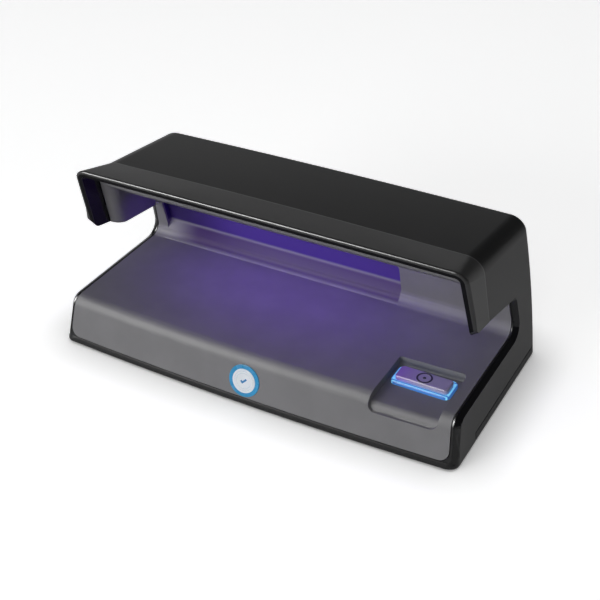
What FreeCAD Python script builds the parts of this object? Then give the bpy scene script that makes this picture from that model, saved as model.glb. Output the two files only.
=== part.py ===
import FreeCAD, Part
import math
import os

# Counterfeit bill detector: a C-shaped desk-top hood with a UV lamp in its canopy, a grey tray under it for
# the note, and a sprung power button in the tray's front right corner. Millimetres. +X right, +Y back, +Z up.
# The origin is the centre of the footprint, on the surface that the rubber feet stand on.

V = FreeCAD.Vector

# ---- overall shape -------------------------------------------------------------------------------------------
HALF_WIDTH = 103.0       # half of the width at the standing surface
SIDE_DRAFT = 0.095       # how far each side leans in for each mm of height
FRONT_Y = -51.0          # foremost point of the front sill, on the centre line
BACK_Y = 51.0            # rearmost point, low on the back
BACK_MID = (48.3, 38.0)  # (y, z) that the convex back passes through
BACK_TOP = (40.3, 76.0)  # (y, z) near the top of the back
FRONT_BOW = 2.8          # how far the front's ends lie behind its middle
UNDERSIDE_Z = 1.2        # underside of the base cover, above the standing surface
PLATFORM_Z = 23.6        # surface that the note lies on

# ---- hood ----------------------------------------------------------------------------------------------------
CREASE_TOP = (-12.9, 84.4)   # (y, z at the side) where the front band starts on top
CREASE_LEAN = 0.164          # the crease moves back by this for each mm down
LIP_TOP = (-33.8, 88.9)      # (y, z at the side) of the canopy's front edge
LIP_LEAN = 0.285             # the canopy's front edge moves back by this for each mm down
BAND_FLARE = 1.7             # each side is this much further out at the lip than its draft alone gives
TOP_FALL = 0.128             # fall of the top for each mm towards the back
CROWN = 1.0                  # the top's middle is this much higher than its sides
LIP_CROWN = 0.4              # the same at the lip
HOOD_CORNER_R = 8.5          # corner between the top and a side
LIP_CORNER_R = 6.0           # the same at the lip
LIP_WALL_GAIN = 0.7          # the canopy's walls are this much thicker at the lip
BACK_EDGE_R = 5.0            # edge all round the back
SIDE_WALL = 3.0
TOP_WALL = 2.6
BACK_WALL = 2.6

# ---- opening between the base and the canopy ------------------------------------------------------------------
CANOPY_EDGE_FRONT = (-25.6, 53.4)  # (y, z) of the canopy side's lower edge at its front
CANOPY_EDGE_REAR = (23.8, 43.5)    # (y, z) of the same edge at the column
COLUMN_FOOT_Y = 28.9               # where the column's front line meets the platform
NOTCH_TOP_R = 2.5
NOTCH_FOOT_R = 5.5
TRAY_NOSE_R = 6.5                  # rounding between the platform and the front apron
RIM_WIDTH = 2.2                    # width of the slanted rim round the opening, across X
RIM_DROP = 1.6                     # how far the rim falls away towards the outside
RIM_FRONT_DROP = 3.0               # the same, beside the apron
LEG_CORNER_R = 5.0                 # lower front corner of each canopy leg

# ---- front sill and apron ------------------------------------------------------------------------------------
SILL_TOP_Z = 3.8
SILL_DEPTH = 3.5
FRAME_CORNER_R = 5.0         # lower front corners of the frame round the apron
SILL_CORNER_R = 5.0
APRON_FOOT_Y = -50.2         # apron at the sill, on the centre line
APRON_LEAN = 0.25            # the apron moves back by this for each mm of height
BOW_RADIUS = (HALF_WIDTH ** 2 + FRONT_BOW ** 2) / (2.0 * FRONT_BOW)

# ---- fits ----------------------------------------------------------------------------------------------------
SEAM = 0.4                   # gap that is left open at every visible seam
COVER_SEAM = 0.6             # the same between the base cover and the hood
BUTTON_CLEARANCE = 0.3       # between the button and the light ring
PLUNGER_CLEARANCE = 0.08     # running fit of the plunger in the switch

# ---- base cover ----------------------------------------------------------------------------------------------
COVER_PLATE = 2.2
COVER_RIM_TOP_Z = 5.0
COVER_RIM_WALL = 2.4
COVER_STEP_Y = -25.5         # ahead of this line the hood itself reaches down to the underside
FOOT_R = 6.0
FOOT_POCKET = 1.0
FRONT_FOOT = (23.0, 15.0)    # in from the side and from the front, to the foot's axis
REAR_FOOT = (33.0, 14.0)     # in from the side and from the back
FOOT_PLACES = [(side * (HALF_WIDTH - FRONT_FOOT[0]), FRONT_Y + FRONT_FOOT[1]) for side in (-1.0, 1.0)]
FOOT_PLACES += [(side * (HALF_WIDTH - REAR_FOOT[0]), BACK_Y - REAR_FOOT[1]) for side in (-1.0, 1.0)]
SCREW_SHANK_R = 1.45
SCREW_HOLE_R = 1.6
SCREW_HEAD_R = 2.8
SCREW_HEAD_H = 2.0
CUP_WALL = 1.5
CUP_TOP_Z = 7.4
CUP_ROOF = 1.4
BOSS_R = 3.6
FRONT_SCREW = (9.0, 14.0)    # in from the side and from the front, to the screw's axis
REAR_SCREW = (19.0, 10.5)    # in from the side and from the back
FRONT_SCREWS = [(side * (HALF_WIDTH - FRONT_SCREW[0]), FRONT_Y + FRONT_SCREW[1]) for side in (-1.0, 1.0)]
REAR_SCREWS = [(side * (HALF_WIDTH - REAR_SCREW[0]), BACK_Y - REAR_SCREW[1]) for side in (-1.0, 1.0)]
SCREW_BITE = 9.0             # how far a screw runs into its boss

# ---- grey tray -----------------------------------------------------------------------------------------------
TRAY_WALL = 2.2
TRAY_TOP_Z = 66.0            # the rear wall ends under the canopy liner
POCKET_ENDS = (12.0, 61.0)   # pocket in the rear wall for long notes: in from the left and right sides
POCKET_LEFT = POCKET_ENDS[0] - HALF_WIDTH
POCKET_RIGHT = HALF_WIDTH - POCKET_ENDS[1]
POCKET_DEPTH = 4.0
POCKET_RAMP_Z = 31.5
POCKET_TOP_Z = 47.5
POCKET_R = 5.0

# ---- canopy liner and lamp -----------------------------------------------------------------------------------
LINER_SETBACK = 10.2         # the liner's front runs this far behind the lip, parallel to it
LINER_WALL = 2.2
CHEEK_WALL = (6.0, 3.2)      # at the liner's front, at the rear wall
LINER_FRONT_R = 5.0          # rounding of each cheek's front edge
BAY_RISE_Y = -7.0            # ahead of this line the liner's ceiling rises towards the front
BAY_RISE = 0.76              # by this for each mm forward
WINDOW_END = 23.0            # in from the hood's side to the end of the window's opening
WINDOW_OPENING = (2 * (HALF_WIDTH - WINDOW_END), 16.0)
WINDOW_CENTRE_Y = 5.5
WINDOW_LAP = 2.0
WINDOW_THICK = 2.0
REFLECTOR_SHEET = 0.8
REFLECTOR_HEIGHT = 6.6
REFLECTOR_FLARE = 3.0        # each long side leans out by this from the roof to the window
LED_BOARD_END = 5.0          # from the end of the window's opening to the board's end
LED_BOARD = (WINDOW_OPENING[0] - 2 * LED_BOARD_END, 9.0, 1.6)
LED_COUNT = 10
LED_SIZE = (3.5, 3.5, 1.4)
LED_SCREW_INSET = 3.0
LED_SCREW_X = LED_BOARD[0] / 2 - LED_SCREW_INSET
FIRST_LED = 6.0              # from a screw to the nearest LED
LINER_SCREW_INSET = 17.0     # in from the hood's side at the floor
LINER_SCREW_Y = (-1.5, 12.0)
LINER_SCREWS = [(side * (HALF_WIDTH - LINER_SCREW_INSET), y) for y in LINER_SCREW_Y for side in (-1.0, 1.0)]
LINER_SCREW_BITE = 6.0       # how far a liner screw runs into its boss
LAMP_SCREW_BITE = 2.6        # the same for the lamp's screws
SMALL_SCREW_R = 1.1
SMALL_HOLE_R = 1.25
SMALL_HEAD_R = 2.2
SMALL_HEAD_H = 1.4
SMALL_BOSS_R = 2.8

# ---- button --------------------------------------------------------------------------------------------------
BUTTON_INSET = (27.2, 29.8)  # the button's axis, in from the side and from the front
BUTTON_X = HALF_WIDTH - BUTTON_INSET[0]
BUTTON_Y = FRONT_Y + BUTTON_INSET[1]
CAP_SIZE = (25.0, 8.6)
CAP_CORNER_R = 1.8
CAP_TOP_Z = 22.8
CAP_WALL = 1.2
CAP_SKIRT_Z = 16.6
CAP_CLIP = (1.1, 5.0, 1.3)   # catch under the light ring: reach, width and height
BUTTON_TRAVEL = 1.8
RING_SIZE = (28.0, 12.6)
RING_CORNER_R = 2.8
RING_TOP_Z = 20.9
RING_FLANGE = 1.3
RING_FLANGE_THICK = 1.4
SCOOP_REACH = (15.6, 16.2, 7.6)  # from the button's axis to the scoop's left, right and rear edges
SCOOP_X = (BUTTON_X - SCOOP_REACH[0], BUTTON_X + SCOOP_REACH[1])
SCOOP_BACK_Y = BUTTON_Y + SCOOP_REACH[2]
SCOOP_FLOOR_Z = 19.4
SCOOP_FOOT_Z = 16.5          # lower edge of the scoop, on the apron
SCOOP_APRON_DEPTH = 1.6
SCOOP_CORNER_R = 3.5
SCOOP_WALL = 2.0
SWITCH_BODY = (8.5, 8.4)      # square side, height
SWITCH_WALL = 1.3
SWITCH_FLOOR = 1.0
SWITCH_ROOF = 1.2
PLUNGER_SIZE = 3.2
PLUNGER_FOOT_SIZE = 5.4
PLUNGER_FOOT_H = 1.2
SPRING_R = 1.5
SPRING_WIRE_R = 0.22
SPRING_WIRE_SIDES = 8
SPRING_TURNS = 4
BUTTON_BOARD_X = (BUTTON_X - 15.8, BUTTON_X + 15.7)
BUTTON_BOARD_Y = (BUTTON_Y - 10.8, BUTTON_Y + 10.7)
BUTTON_BOARD_TOP_Z = 6.0
BOARD_THICK = 1.6
BUTTON_BOARD_SCREWS = [(BUTTON_X - 9.3, BUTTON_Y + 8.3), (BUTTON_X + 10.2, BUTTON_Y - 8.8)]
RING_LEG_R = 1.0
RING_LED_SIZE = (1.6, 3.2, 1.2)

# ---- main board ----------------------------------------------------------------------------------------------
MAIN_BOARD_SIZE = (68.0, 42.0)
MAIN_BOARD_CORNER = (27.0, 5.0)  # its right rear corner, in from the hood's side and back
MAIN_BOARD_X = (HALF_WIDTH - MAIN_BOARD_CORNER[0] - MAIN_BOARD_SIZE[0], HALF_WIDTH - MAIN_BOARD_CORNER[0])
MAIN_BOARD_Y = (BACK_Y - MAIN_BOARD_CORNER[1] - MAIN_BOARD_SIZE[1], BACK_Y - MAIN_BOARD_CORNER[1])
MAIN_BOARD_TOP_Z = 9.0
MAIN_BOARD_SCREWS = [(MAIN_BOARD_X[0] + 3.5, MAIN_BOARD_Y[0] + 3.5), (MAIN_BOARD_X[1] - 3.5, MAIN_BOARD_Y[0] + 10.0),
                     (MAIN_BOARD_X[0] + 3.5, MAIN_BOARD_Y[1] - 3.5)]
STANDOFF_R = 2.6
JACK_X = MAIN_BOARD_X[1] - 14.0
JACK_AXIS_Z = 14.6
JACK_BODY = (9.4, 14.0, 11.0)
JACK_NOSE_R = 4.2
JACK_HOLE_R = 4.4
JACK_BORE_R = 3.15
JACK_BORE_DEPTH = 9.5
JACK_PIN_R = 1.0
COIL_R = 6.0
COIL_H = 6.5
CAPACITOR_R = 4.0
CAPACITOR_H = 11.0
CHIP_SIZE = (6.2, 5.0, 1.6)
PLUG_SIZE = (7.5, 4.6, 5.6)  # white wire plug on a board
LEAD_R = 0.9                 # two fine wires in one sleeve
LAMP_PLUG = (MAIN_BOARD_X[0] + 32.0, MAIN_BOARD_Y[1] - 9.0)
LAMP_PLUG_HEIGHT = 3.4       # the flat plug on the LED board
BUTTON_FEED_PLUG = (MAIN_BOARD_X[1] - 8.0, MAIN_BOARD_Y[0] + 3.0)
BUTTON_PLUG = (BUTTON_X - 1.8, BUTTON_Y + 8.2)
COIL_PLACE = (MAIN_BOARD_X[0] + 12.0, MAIN_BOARD_Y[0] + 28.0)
CAPACITOR_PLACES = [(MAIN_BOARD_X[0] + 14.0 + 11.0 * i, MAIN_BOARD_Y[0] + 10.0) for i in range(2)]
CHIP_PLACE = (MAIN_BOARD_X[0] + 40.0, MAIN_BOARD_Y[0] + 16.0)

# ---- badge ---------------------------------------------------------------------------------------------------
BADGE_R = 7.8
BADGE_THICK = 0.8
BADGE_SEAT = 0.4             # how deep the badge sits in the apron
BADGE_Z = 12.2


# ---- drawing helpers -----------------------------------------------------------------------------------------
def box(x0, x1, y0, y1, z0, z1):
    return Part.makeBox(x1 - x0, y1 - y0, z1 - z0, V(x0, y0, z0))


def post(x, y, z0, z1, radius):
    return Part.makeCylinder(radius, z1 - z0, V(x, y, z0))


def fuse_all(shapes):
    whole = shapes[0]
    for shape in shapes[1:]:
        whole = whole.fuse(shape)
    return whole.removeSplitter()


def corner_points(before, corner, after, radius):
    """Start, middle and end of the arc that rounds a corner of an outline, in its own plane."""
    to_before = (before[0] - corner[0], before[1] - corner[1])
    to_after = (after[0] - corner[0], after[1] - corner[1])
    a = [c / math.hypot(*to_before) for c in to_before]
    b = [c / math.hypot(*to_after) for c in to_after]
    half = math.acos(max(-1.0, min(1.0, a[0] * b[0] + a[1] * b[1]))) / 2.0
    run = radius / math.tan(half)
    bisector = (a[0] + b[0], a[1] + b[1])
    length = math.hypot(*bisector)
    reach = radius / math.sin(half) - radius
    start = (corner[0] + a[0] * run, corner[1] + a[1] * run)
    middle = (corner[0] + bisector[0] / length * reach, corner[1] + bisector[1] / length * reach)
    end = (corner[0] + b[0] * run, corner[1] + b[1] * run)
    return start, middle, end


def rounded_wire(points, place):
    """Closed outline through points (u, v, radius), each corner rounded; place(u, v) gives the 3-D point."""
    count = len(points)
    corners = []
    for i, (u, v, radius) in enumerate(points):
        if radius > 0:
            corners.append(corner_points(points[i - 1], (u, v), points[(i + 1) % count], radius))
        else:
            corners.append(((u, v), None, (u, v)))
    edges = []
    for i, (start, middle, end) in enumerate(corners):
        last_end = corners[i - 1][2]
        if math.dist(last_end, start) > 1e-6:
            edges.append(Part.LineSegment(place(*last_end), place(*start)).toShape())
        if middle:
            edges.append(Part.Arc(place(*start), place(*middle), place(*end)).toShape())
    return Part.Wire(edges)


def side_prism(points, x0, x1):
    """Solid with an outline in the side view, points (y, z, radius), from x0 to x1."""
    wire = rounded_wire(points, lambda y, z: V(x0, y, z))
    return Part.Face(wire).extrude(V(x1 - x0, 0, 0))


def plan_prism(points, z0, z1):
    """Solid with an outline in the plan view, points (x, y, radius), from z0 to z1."""
    wire = rounded_wire(points, lambda x, y: V(x, y, z0))
    return Part.Face(wire).extrude(V(0, 0, z1 - z0))


def plan_block(centre, size, corner_r, z0, z1):
    """Upright block with rounded corners, given by its centre (x, y) and size (x, y)."""
    hx, hy = size[0] / 2.0, size[1] / 2.0
    signs = [(-1, -1), (1, -1), (1, 1), (-1, 1)]
    return plan_prism([(centre[0] + sx * hx, centre[1] + sy * hy, corner_r) for sx, sy in signs], z0, z1)


def offset_outline(points, moves):
    """Outline (u, v, radius), counter-clockwise, with side i, from point i to the next, moved out by moves[i]."""
    count = len(points)
    lines = []
    for i in range(count):
        (u0, v0, _), (u1, v1, _) = points[i], points[(i + 1) % count]
        length = math.hypot(u1 - u0, v1 - v0)
        normal = ((v1 - v0) / length, -(u1 - u0) / length)
        lines.append((normal, normal[0] * u0 + normal[1] * v0 + moves[i]))
    result = []
    for i in range(count):
        (n0, c0), (n1, c1) = lines[i - 1], lines[i]
        cross = n0[0] * n1[1] - n0[1] * n1[0]
        u = (c0 * n1[1] - c1 * n0[1]) / cross
        v = (n0[0] * c1 - n1[0] * c0) / cross
        grow = min(moves[i - 1], moves[i]) * (1.0 if cross > 0 else -1.0)
        radius = points[i][2]
        result.append((u, v, max(radius + grow, 0.5) if radius > 0 else 0))
    return result


# ---- envelope of the hood ------------------------------------------------------------------------------------
def side_x(z, inset=0.0):
    """Half of the width at a height, inside the outer face by inset."""
    return HALF_WIDTH - SIDE_DRAFT * z - inset


def arch_wire(lean_line, side_inset, top_inset, flare, corner_r, crown, low_z):
    """Front-view outline of the hood in a leaning plane: two drafted sides, two round corners, a crowned top.

    lean_line is (y, z at the side, lean): the plane passes through that y at that z and leans back downwards.
    """
    y_ref, z_ref, lean = lean_line
    radius = corner_r - max(side_inset, top_inset)
    half_top = HALF_WIDTH - SIDE_DRAFT * z_ref
    crown_r = (half_top ** 2 + crown ** 2) / (2.0 * crown)
    crown_z = z_ref + crown - top_inset - crown_r
    slope = math.hypot(1.0, SIDE_DRAFT)
    k = HALF_WIDTH - side_inset + flare - radius * slope
    b = k * SIDE_DRAFT + crown_z
    c = k ** 2 + crown_z ** 2 - (crown_r - radius) ** 2
    z = (b + math.sqrt(b ** 2 - slope ** 2 * c)) / slope ** 2
    x = k - SIDE_DRAFT * z
    side = (x + radius / slope, z + radius * SIDE_DRAFT / slope)
    reach = math.hypot(x, z - crown_z)
    top = (x + radius * x / reach, z + radius * (z - crown_z) / reach)
    mid_angle = (math.atan2(side[1] - z, side[0] - x) + math.atan2(top[1] - z, top[0] - x)) / 2.0
    corner = (x + radius * math.cos(mid_angle), z + radius * math.sin(mid_angle))
    foot = (HALF_WIDTH - side_inset + flare - SIDE_DRAFT * low_z, low_z)

    def place(point, sign):
        return V(sign * point[0], y_ref + (z_ref - point[1]) * lean, point[1])

    crest = place((0.0, crown_z + crown_r), 1)
    edges = [Part.LineSegment(place(foot, 1), place(side, 1)).toShape(),
             Part.Arc(place(side, 1), place(corner, 1), place(top, 1)).toShape(),
             Part.Arc(place(top, 1), crest, place(top, -1)).toShape(),
             Part.Arc(place(top, -1), place(corner, -1), place(side, -1)).toShape(),
             Part.LineSegment(place(side, -1), place(foot, -1)).toShape(),
             Part.LineSegment(place(foot, -1), place(foot, 1)).toShape()]
    return Part.Wire(edges)


JOIN_Z = 34.0      # the hood's upper and lower parts meet here, where both are only the column
REACH = 20.0       # how far construction solids run past the object


def hood_arch(side_inset, top_inset):
    """Canopy and column, solid, from ahead of the canopy's front edge to well behind the back."""
    rear_y = BACK_Y + REACH
    rear = (rear_y, CREASE_TOP[1] - TOP_FALL * (rear_y - CREASE_TOP[0]), 0.0)
    crease = (*CREASE_TOP, CREASE_LEAN)
    overrun = 1.25
    gain = overrun * LIP_WALL_GAIN if side_inset > 0 else 0.0

    def ahead(at_crease, at_lip):
        return at_crease + overrun * (at_lip - at_crease)

    front = (ahead(CREASE_TOP[0], LIP_TOP[0]), ahead(CREASE_TOP[1], LIP_TOP[1]), LIP_LEAN)
    wires = [arch_wire(rear, side_inset, top_inset, 0.0, HOOD_CORNER_R, CROWN, JOIN_Z),
             arch_wire(crease, side_inset, top_inset, 0.0, HOOD_CORNER_R, CROWN, JOIN_Z),
             arch_wire(front, side_inset + gain, top_inset + gain, overrun * BAND_FLARE,
                       ahead(HOOD_CORNER_R, LIP_CORNER_R), ahead(CROWN, LIP_CROWN), JOIN_Z)]
    return Part.makeLoft(wires, True, True)


def base_block(side_inset, low_z, high_z):
    """Drafted block of the base and of the column's foot."""
    x_low, x_high = side_x(low_z, side_inset), side_x(high_z, side_inset)
    y0, y1 = FRONT_Y - REACH, BACK_Y + REACH
    corners = [V(-x_low, y0, low_z), V(x_low, y0, low_z), V(x_high, y0, high_z), V(-x_high, y0, high_z)]
    face = Part.Face(Part.makePolygon(corners + corners[:1]))
    return face.extrude(V(0, y1 - y0, 0))


def back_region(inset, low_z):
    """Everything ahead of the convex back, which is moved forward by inset."""
    top_z = LIP_TOP[1] + REACH
    foot = V(-HALF_WIDTH - REACH, BACK_Y - inset, low_z)
    middle = V(foot.x, BACK_MID[0] - inset, BACK_MID[1])
    top = V(foot.x, BACK_TOP[0] - inset, BACK_TOP[1])
    circle = Part.Arc(foot, middle, top).toShape().Curve
    rise = top_z - circle.Center.z
    end = V(foot.x, circle.Center.y + math.sqrt(circle.Radius ** 2 - rise ** 2), top_z)
    front_y = FRONT_Y - 2 * REACH
    corners = [V(foot.x, front_y, top_z), V(foot.x, front_y, low_z)]
    edges = [Part.Arc(foot, middle, end).toShape(),
             Part.LineSegment(end, corners[0]).toShape(),
             Part.LineSegment(corners[0], corners[1]).toShape(),
             Part.LineSegment(corners[1], foot).toShape()]
    return Part.Face(Part.Wire(edges)).extrude(V(2 * (HALF_WIDTH + REACH), 0, 0))


def bowed(profile):
    """Solid swept round the front's bow from a side-view outline (y, z, radius) on the centre line."""
    axis = V(0, FRONT_Y + BOW_RADIUS, 0)
    wire = rounded_wire(profile, lambda y, z: V(0, y, z))
    angle = math.degrees(math.asin((HALF_WIDTH + REACH) / BOW_RADIUS))
    face = Part.Face(wire)
    face.rotate(axis, V(0, 0, 1), -angle)
    return face.revolve(axis, V(0, 0, 1), 2 * angle)


def apron_y(z):
    """Front of the grey apron on the centre line at a height."""
    return APRON_FOOT_Y + APRON_LEAN * (z - SILL_TOP_Z)


def wall_y(z):
    """Front of the grey rear wall, which is also the column's front line."""
    run = (CANOPY_EDGE_REAR[0] - COLUMN_FOOT_Y) / (CANOPY_EDGE_REAR[1] - PLATFORM_Z)
    return COLUMN_FOOT_Y + run * (z - PLATFORM_Z)


def envelope():
    """Outer form of the product without its opening: rounded round the back and at the sill's corners."""
    upper = hood_arch(0.0, 0.0)
    lower = base_block(0.0, UNDERSIDE_Z, JOIN_Z)
    solid = upper.fuse(lower).common(back_region(0.0, UNDERSIDE_Z)).Solids[0]
    backs = [face for face in solid.Faces if face.Surface.TypeId == "Part::GeomCylinder"]
    back = max(backs, key=lambda face: face.Area)
    solid = solid.makeFillet(BACK_EDGE_R, [e for e in back.Edges if e.BoundBox.ZMax > UNDERSIDE_Z + 0.01])
    top_z, far_y = LIP_TOP[1] + REACH, BACK_Y + REACH
    front = bowed([(FRONT_Y, UNDERSIDE_Z, 0), (FRONT_Y, (UNDERSIDE_Z + SILL_TOP_Z) / 2, 0),
                   (APRON_FOOT_Y, SILL_TOP_Z, 0), (APRON_FOOT_Y, top_z, 0), (far_y, top_z, 0),
                   (far_y, UNDERSIDE_Z, 0)])
    solid = solid.common(front).Solids[0]
    corners = [e for e in solid.Edges
               if e.BoundBox.YMax < APRON_FOOT_Y + FRONT_BOW + 1.0 and e.BoundBox.ZLength > 0.2
               and abs(e.CenterOfMass.x) > HALF_WIDTH - SIDE_DRAFT * JOIN_Z - 1.0]
    return solid.makeFillet(SILL_CORNER_R, corners)


# ---- opening -------------------------------------------------------------------------------------------------
def opening_outline():
    """Side view of the opening between base and canopy, counter-clockwise: points (y, z, radius)."""
    front_y, top_z = FRONT_Y - REACH, LIP_TOP[1] + REACH
    side_apron = apron_y(SILL_TOP_Z) + FRONT_BOW
    side_nose = apron_y(PLATFORM_Z) + FRONT_BOW
    edge_slope = ((CANOPY_EDGE_FRONT[1] - CANOPY_EDGE_REAR[1]) / (CANOPY_EDGE_FRONT[0] - CANOPY_EDGE_REAR[0]))
    leg_z = ((CANOPY_EDGE_REAR[1] + edge_slope * (LIP_TOP[0] + LIP_LEAN * LIP_TOP[1] - CANOPY_EDGE_REAR[0]))
             / (1.0 + edge_slope * LIP_LEAN))
    leg_y = LIP_TOP[0] + LIP_LEAN * (LIP_TOP[1] - leg_z)
    lip_y = LIP_TOP[0] + LIP_LEAN * (LIP_TOP[1] - top_z)
    return [(front_y, SILL_TOP_Z, 0), (side_apron, SILL_TOP_Z, 0), (side_nose, PLATFORM_Z, TRAY_NOSE_R),
            (COLUMN_FOOT_Y, PLATFORM_Z, NOTCH_FOOT_R), (*CANOPY_EDGE_REAR, NOTCH_TOP_R),
            (leg_y, leg_z, LEG_CORNER_R), (lip_y, top_z, 0), (front_y, top_z, 0)]


def opening():
    """Empty space between base and canopy and ahead of the canopy, flared at both sides by the rim."""
    outline = opening_outline()
    flare = [0.0, RIM_FRONT_DROP, RIM_DROP, RIM_DROP, RIM_DROP, 0.0, 0.0, 0.0]
    overrun = 2.4
    wires = []
    for sign, share in ((-1, overrun), (-1, 0.0), (1, 0.0), (1, overrun)):
        inset = RIM_WIDTH * (1.0 - share)
        points = offset_outline(outline, [move * share for move in flare])
        wires.append(rounded_wire(points, lambda y, z: V(sign * side_x(z, inset), y, z)))
    return Part.makeLoft(wires, True, True)


# ---- outer shell ---------------------------------------------------------------------------------------------
def cavity():
    """Space inside the hood's walls, open below and in front."""
    upper = hood_arch(SIDE_WALL, TOP_WALL)
    lower = base_block(SIDE_WALL, UNDERSIDE_Z - REACH, JOIN_Z)
    return upper.fuse(lower).common(back_region(BACK_WALL, UNDERSIDE_Z - REACH)).Solids[0]


def sill(body):
    """Bar across the front below the apron."""
    rear_y = FRONT_Y + SILL_DEPTH
    low_z = UNDERSIDE_Z - 1.0
    bar = bowed([(FRONT_Y - 1.0, low_z, 0), (rear_y, low_z, 0), (rear_y, SILL_TOP_Z, 0),
                 (FRONT_Y - 1.0, SILL_TOP_Z, 0)])
    return body.common(bar)


def frame_corners(radius):
    """The two lower front corners of the tray's frame, outside a round of this radius."""
    low_z, high_z = SILL_TOP_Z - 0.1, SILL_TOP_Z + FRAME_CORNER_R
    centre_x = side_x(high_z, SIDE_WALL) - FRAME_CORNER_R
    front_y, depth = FRONT_Y - 1.0, SILL_DEPTH + FRONT_BOW + 4.0
    corners = []
    for sign in (-1, 1):
        ends = sorted((sign * centre_x, sign * (centre_x + FRAME_CORNER_R + 2.0)))
        block = box(ends[0], ends[1], front_y, front_y + depth, low_z, high_z)
        corners.append(block.cut(Part.makeCylinder(radius, depth, V(sign * centre_x, front_y, high_z), V(0, 1, 0))))
    face = bowed([(apron_y(low_z), low_z, 0), (apron_y(low_z) + SILL_DEPTH, low_z, 0),
                  (apron_y(high_z) + SILL_DEPTH, high_z, 0), (apron_y(high_z), high_z, 0)])
    return Part.makeCompound(corners).common(face)


def screw_axes(places, z0, z1, radius):
    return fuse_all([post(x, y, z0, z1, radius) for x, y in places])


def outer_shell(body, space):
    shell = fuse_all([body.cut(space), sill(body), frame_corners(FRAME_CORNER_R).common(body)])
    cover_top = COVER_RIM_TOP_Z + COVER_SEAM
    shell = shell.cut(box(-HALF_WIDTH - 1, HALF_WIDTH + 1, COVER_STEP_Y, BACK_Y + 1, 0, cover_top))
    rear_bosses = screw_axes(REAR_SCREWS, CUP_TOP_Z, CUP_TOP_Z + SCREW_BITE + 2.0, BOSS_R)
    ribs = [box(x - 1.0, x + 1.0, y, BACK_Y, CUP_TOP_Z, CUP_TOP_Z + SCREW_BITE) for x, y in REAR_SCREWS]
    ceiling_top = TRAY_TOP_Z + LINER_WALL
    liner_bosses = screw_axes(LINER_SCREWS, ceiling_top, LIP_TOP[1], SMALL_BOSS_R)
    lamp_bosses = screw_axes(lamp_screw_places(), reflector_top(), LIP_TOP[1], SMALL_BOSS_R)
    added = fuse_all([rear_bosses, liner_bosses, lamp_bosses] + ribs).common(body)
    shell = shell.cut(opening()).fuse(added)
    jack_hole = Part.makeCylinder(JACK_HOLE_R, 2 * BACK_WALL + 4.0, V(JACK_X, BACK_Y - BACK_WALL - 4.0, JACK_AXIS_Z),
                                  V(0, 1, 0))
    holes = [screw_axes(REAR_SCREWS, 0, CUP_TOP_Z + SCREW_BITE + 0.5, SCREW_HOLE_R - 0.1),
             screw_axes(LINER_SCREWS, ceiling_top - 1, ceiling_top + LINER_SCREW_BITE + 0.5, SMALL_HOLE_R),
             screw_axes(lamp_screw_places(), reflector_top() - 1, lamp_screw_top() + 0.1, SMALL_HOLE_R), jack_hole]
    return shell.cut(Part.makeCompound(holes)).removeSplitter()


def reflector_top():
    return TRAY_TOP_Z + LINER_WALL + WINDOW_THICK + REFLECTOR_HEIGHT


def lamp_screw_top():
    return reflector_top() + LAMP_SCREW_BITE


def lamp_screw_places():
    return [(-LED_SCREW_X, WINDOW_CENTRE_Y), (LED_SCREW_X, WINDOW_CENTRE_Y)]


# ---- base cover, feet and screws -----------------------------------------------------------------------------
def cup_inner_r():
    return SCREW_HEAD_R + 0.3


def base_cover(body):
    plate_top = UNDERSIDE_Z + COVER_PLATE
    step_y = COVER_STEP_Y + COVER_SEAM
    flush = body.common(box(-HALF_WIDTH - 1, HALF_WIDTH + 1, step_y, BACK_Y + 1, UNDERSIDE_Z, COVER_RIM_TOP_Z))
    well = base_block(COVER_RIM_WALL, plate_top, COVER_RIM_TOP_Z + 1.0)
    well = well.common(back_region(COVER_RIM_WALL, UNDERSIDE_Z - REACH))
    flush = flush.cut(well)
    inner = base_block(SIDE_WALL + SEAM, UNDERSIDE_Z, plate_top)
    front_y = FRONT_Y + SILL_DEPTH + SEAM
    inner = inner.common(bowed([(front_y, 0, 0), (BACK_Y, 0, 0), (BACK_Y, plate_top, 0), (front_y, plate_top, 0)]))
    inner = inner.common(box(-HALF_WIDTH, HALF_WIDTH, FRONT_Y, step_y + COVER_RIM_WALL, UNDERSIDE_Z, plate_top))
    places = FRONT_SCREWS + REAR_SCREWS
    cups = screw_axes(places, UNDERSIDE_Z, CUP_TOP_Z, cup_inner_r() + CUP_WALL)
    board_bottom = MAIN_BOARD_TOP_Z - BOARD_THICK
    main_posts = screw_axes(MAIN_BOARD_SCREWS, plate_top, board_bottom, STANDOFF_R)
    button_posts = screw_axes(BUTTON_BOARD_SCREWS, plate_top, BUTTON_BOARD_TOP_Z - BOARD_THICK, STANDOFF_R)
    cover = fuse_all([flush, inner, cups, main_posts, button_posts])
    cuts = [screw_axes(places, 0, CUP_TOP_Z - CUP_ROOF, cup_inner_r()),
            screw_axes(places, 0, CUP_TOP_Z + 1, SCREW_HOLE_R),
            screw_axes(FOOT_PLACES, 0, UNDERSIDE_Z + FOOT_POCKET, FOOT_R + 0.2),
            screw_axes(MAIN_BOARD_SCREWS, main_screw_foot() - 0.2, board_bottom + 1, SMALL_HOLE_R),
            screw_axes(BUTTON_BOARD_SCREWS, button_screw_foot() - 0.2, BUTTON_BOARD_TOP_Z, SMALL_HOLE_R)]
    return cover.cut(Part.makeCompound(cuts)).removeSplitter()


def main_screw_foot():
    return UNDERSIDE_Z + COVER_PLATE + 0.6


def button_screw_foot():
    return UNDERSIDE_Z + 1.0


def rubber_feet():
    feet = [post(x, y, 0, UNDERSIDE_Z + FOOT_POCKET, FOOT_R) for x, y in FOOT_PLACES]
    rounded = [foot.makeFillet(0.5, [e for e in foot.Edges if e.BoundBox.ZMax < 0.01]) for foot in feet]
    return Part.makeCompound(rounded)


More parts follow.
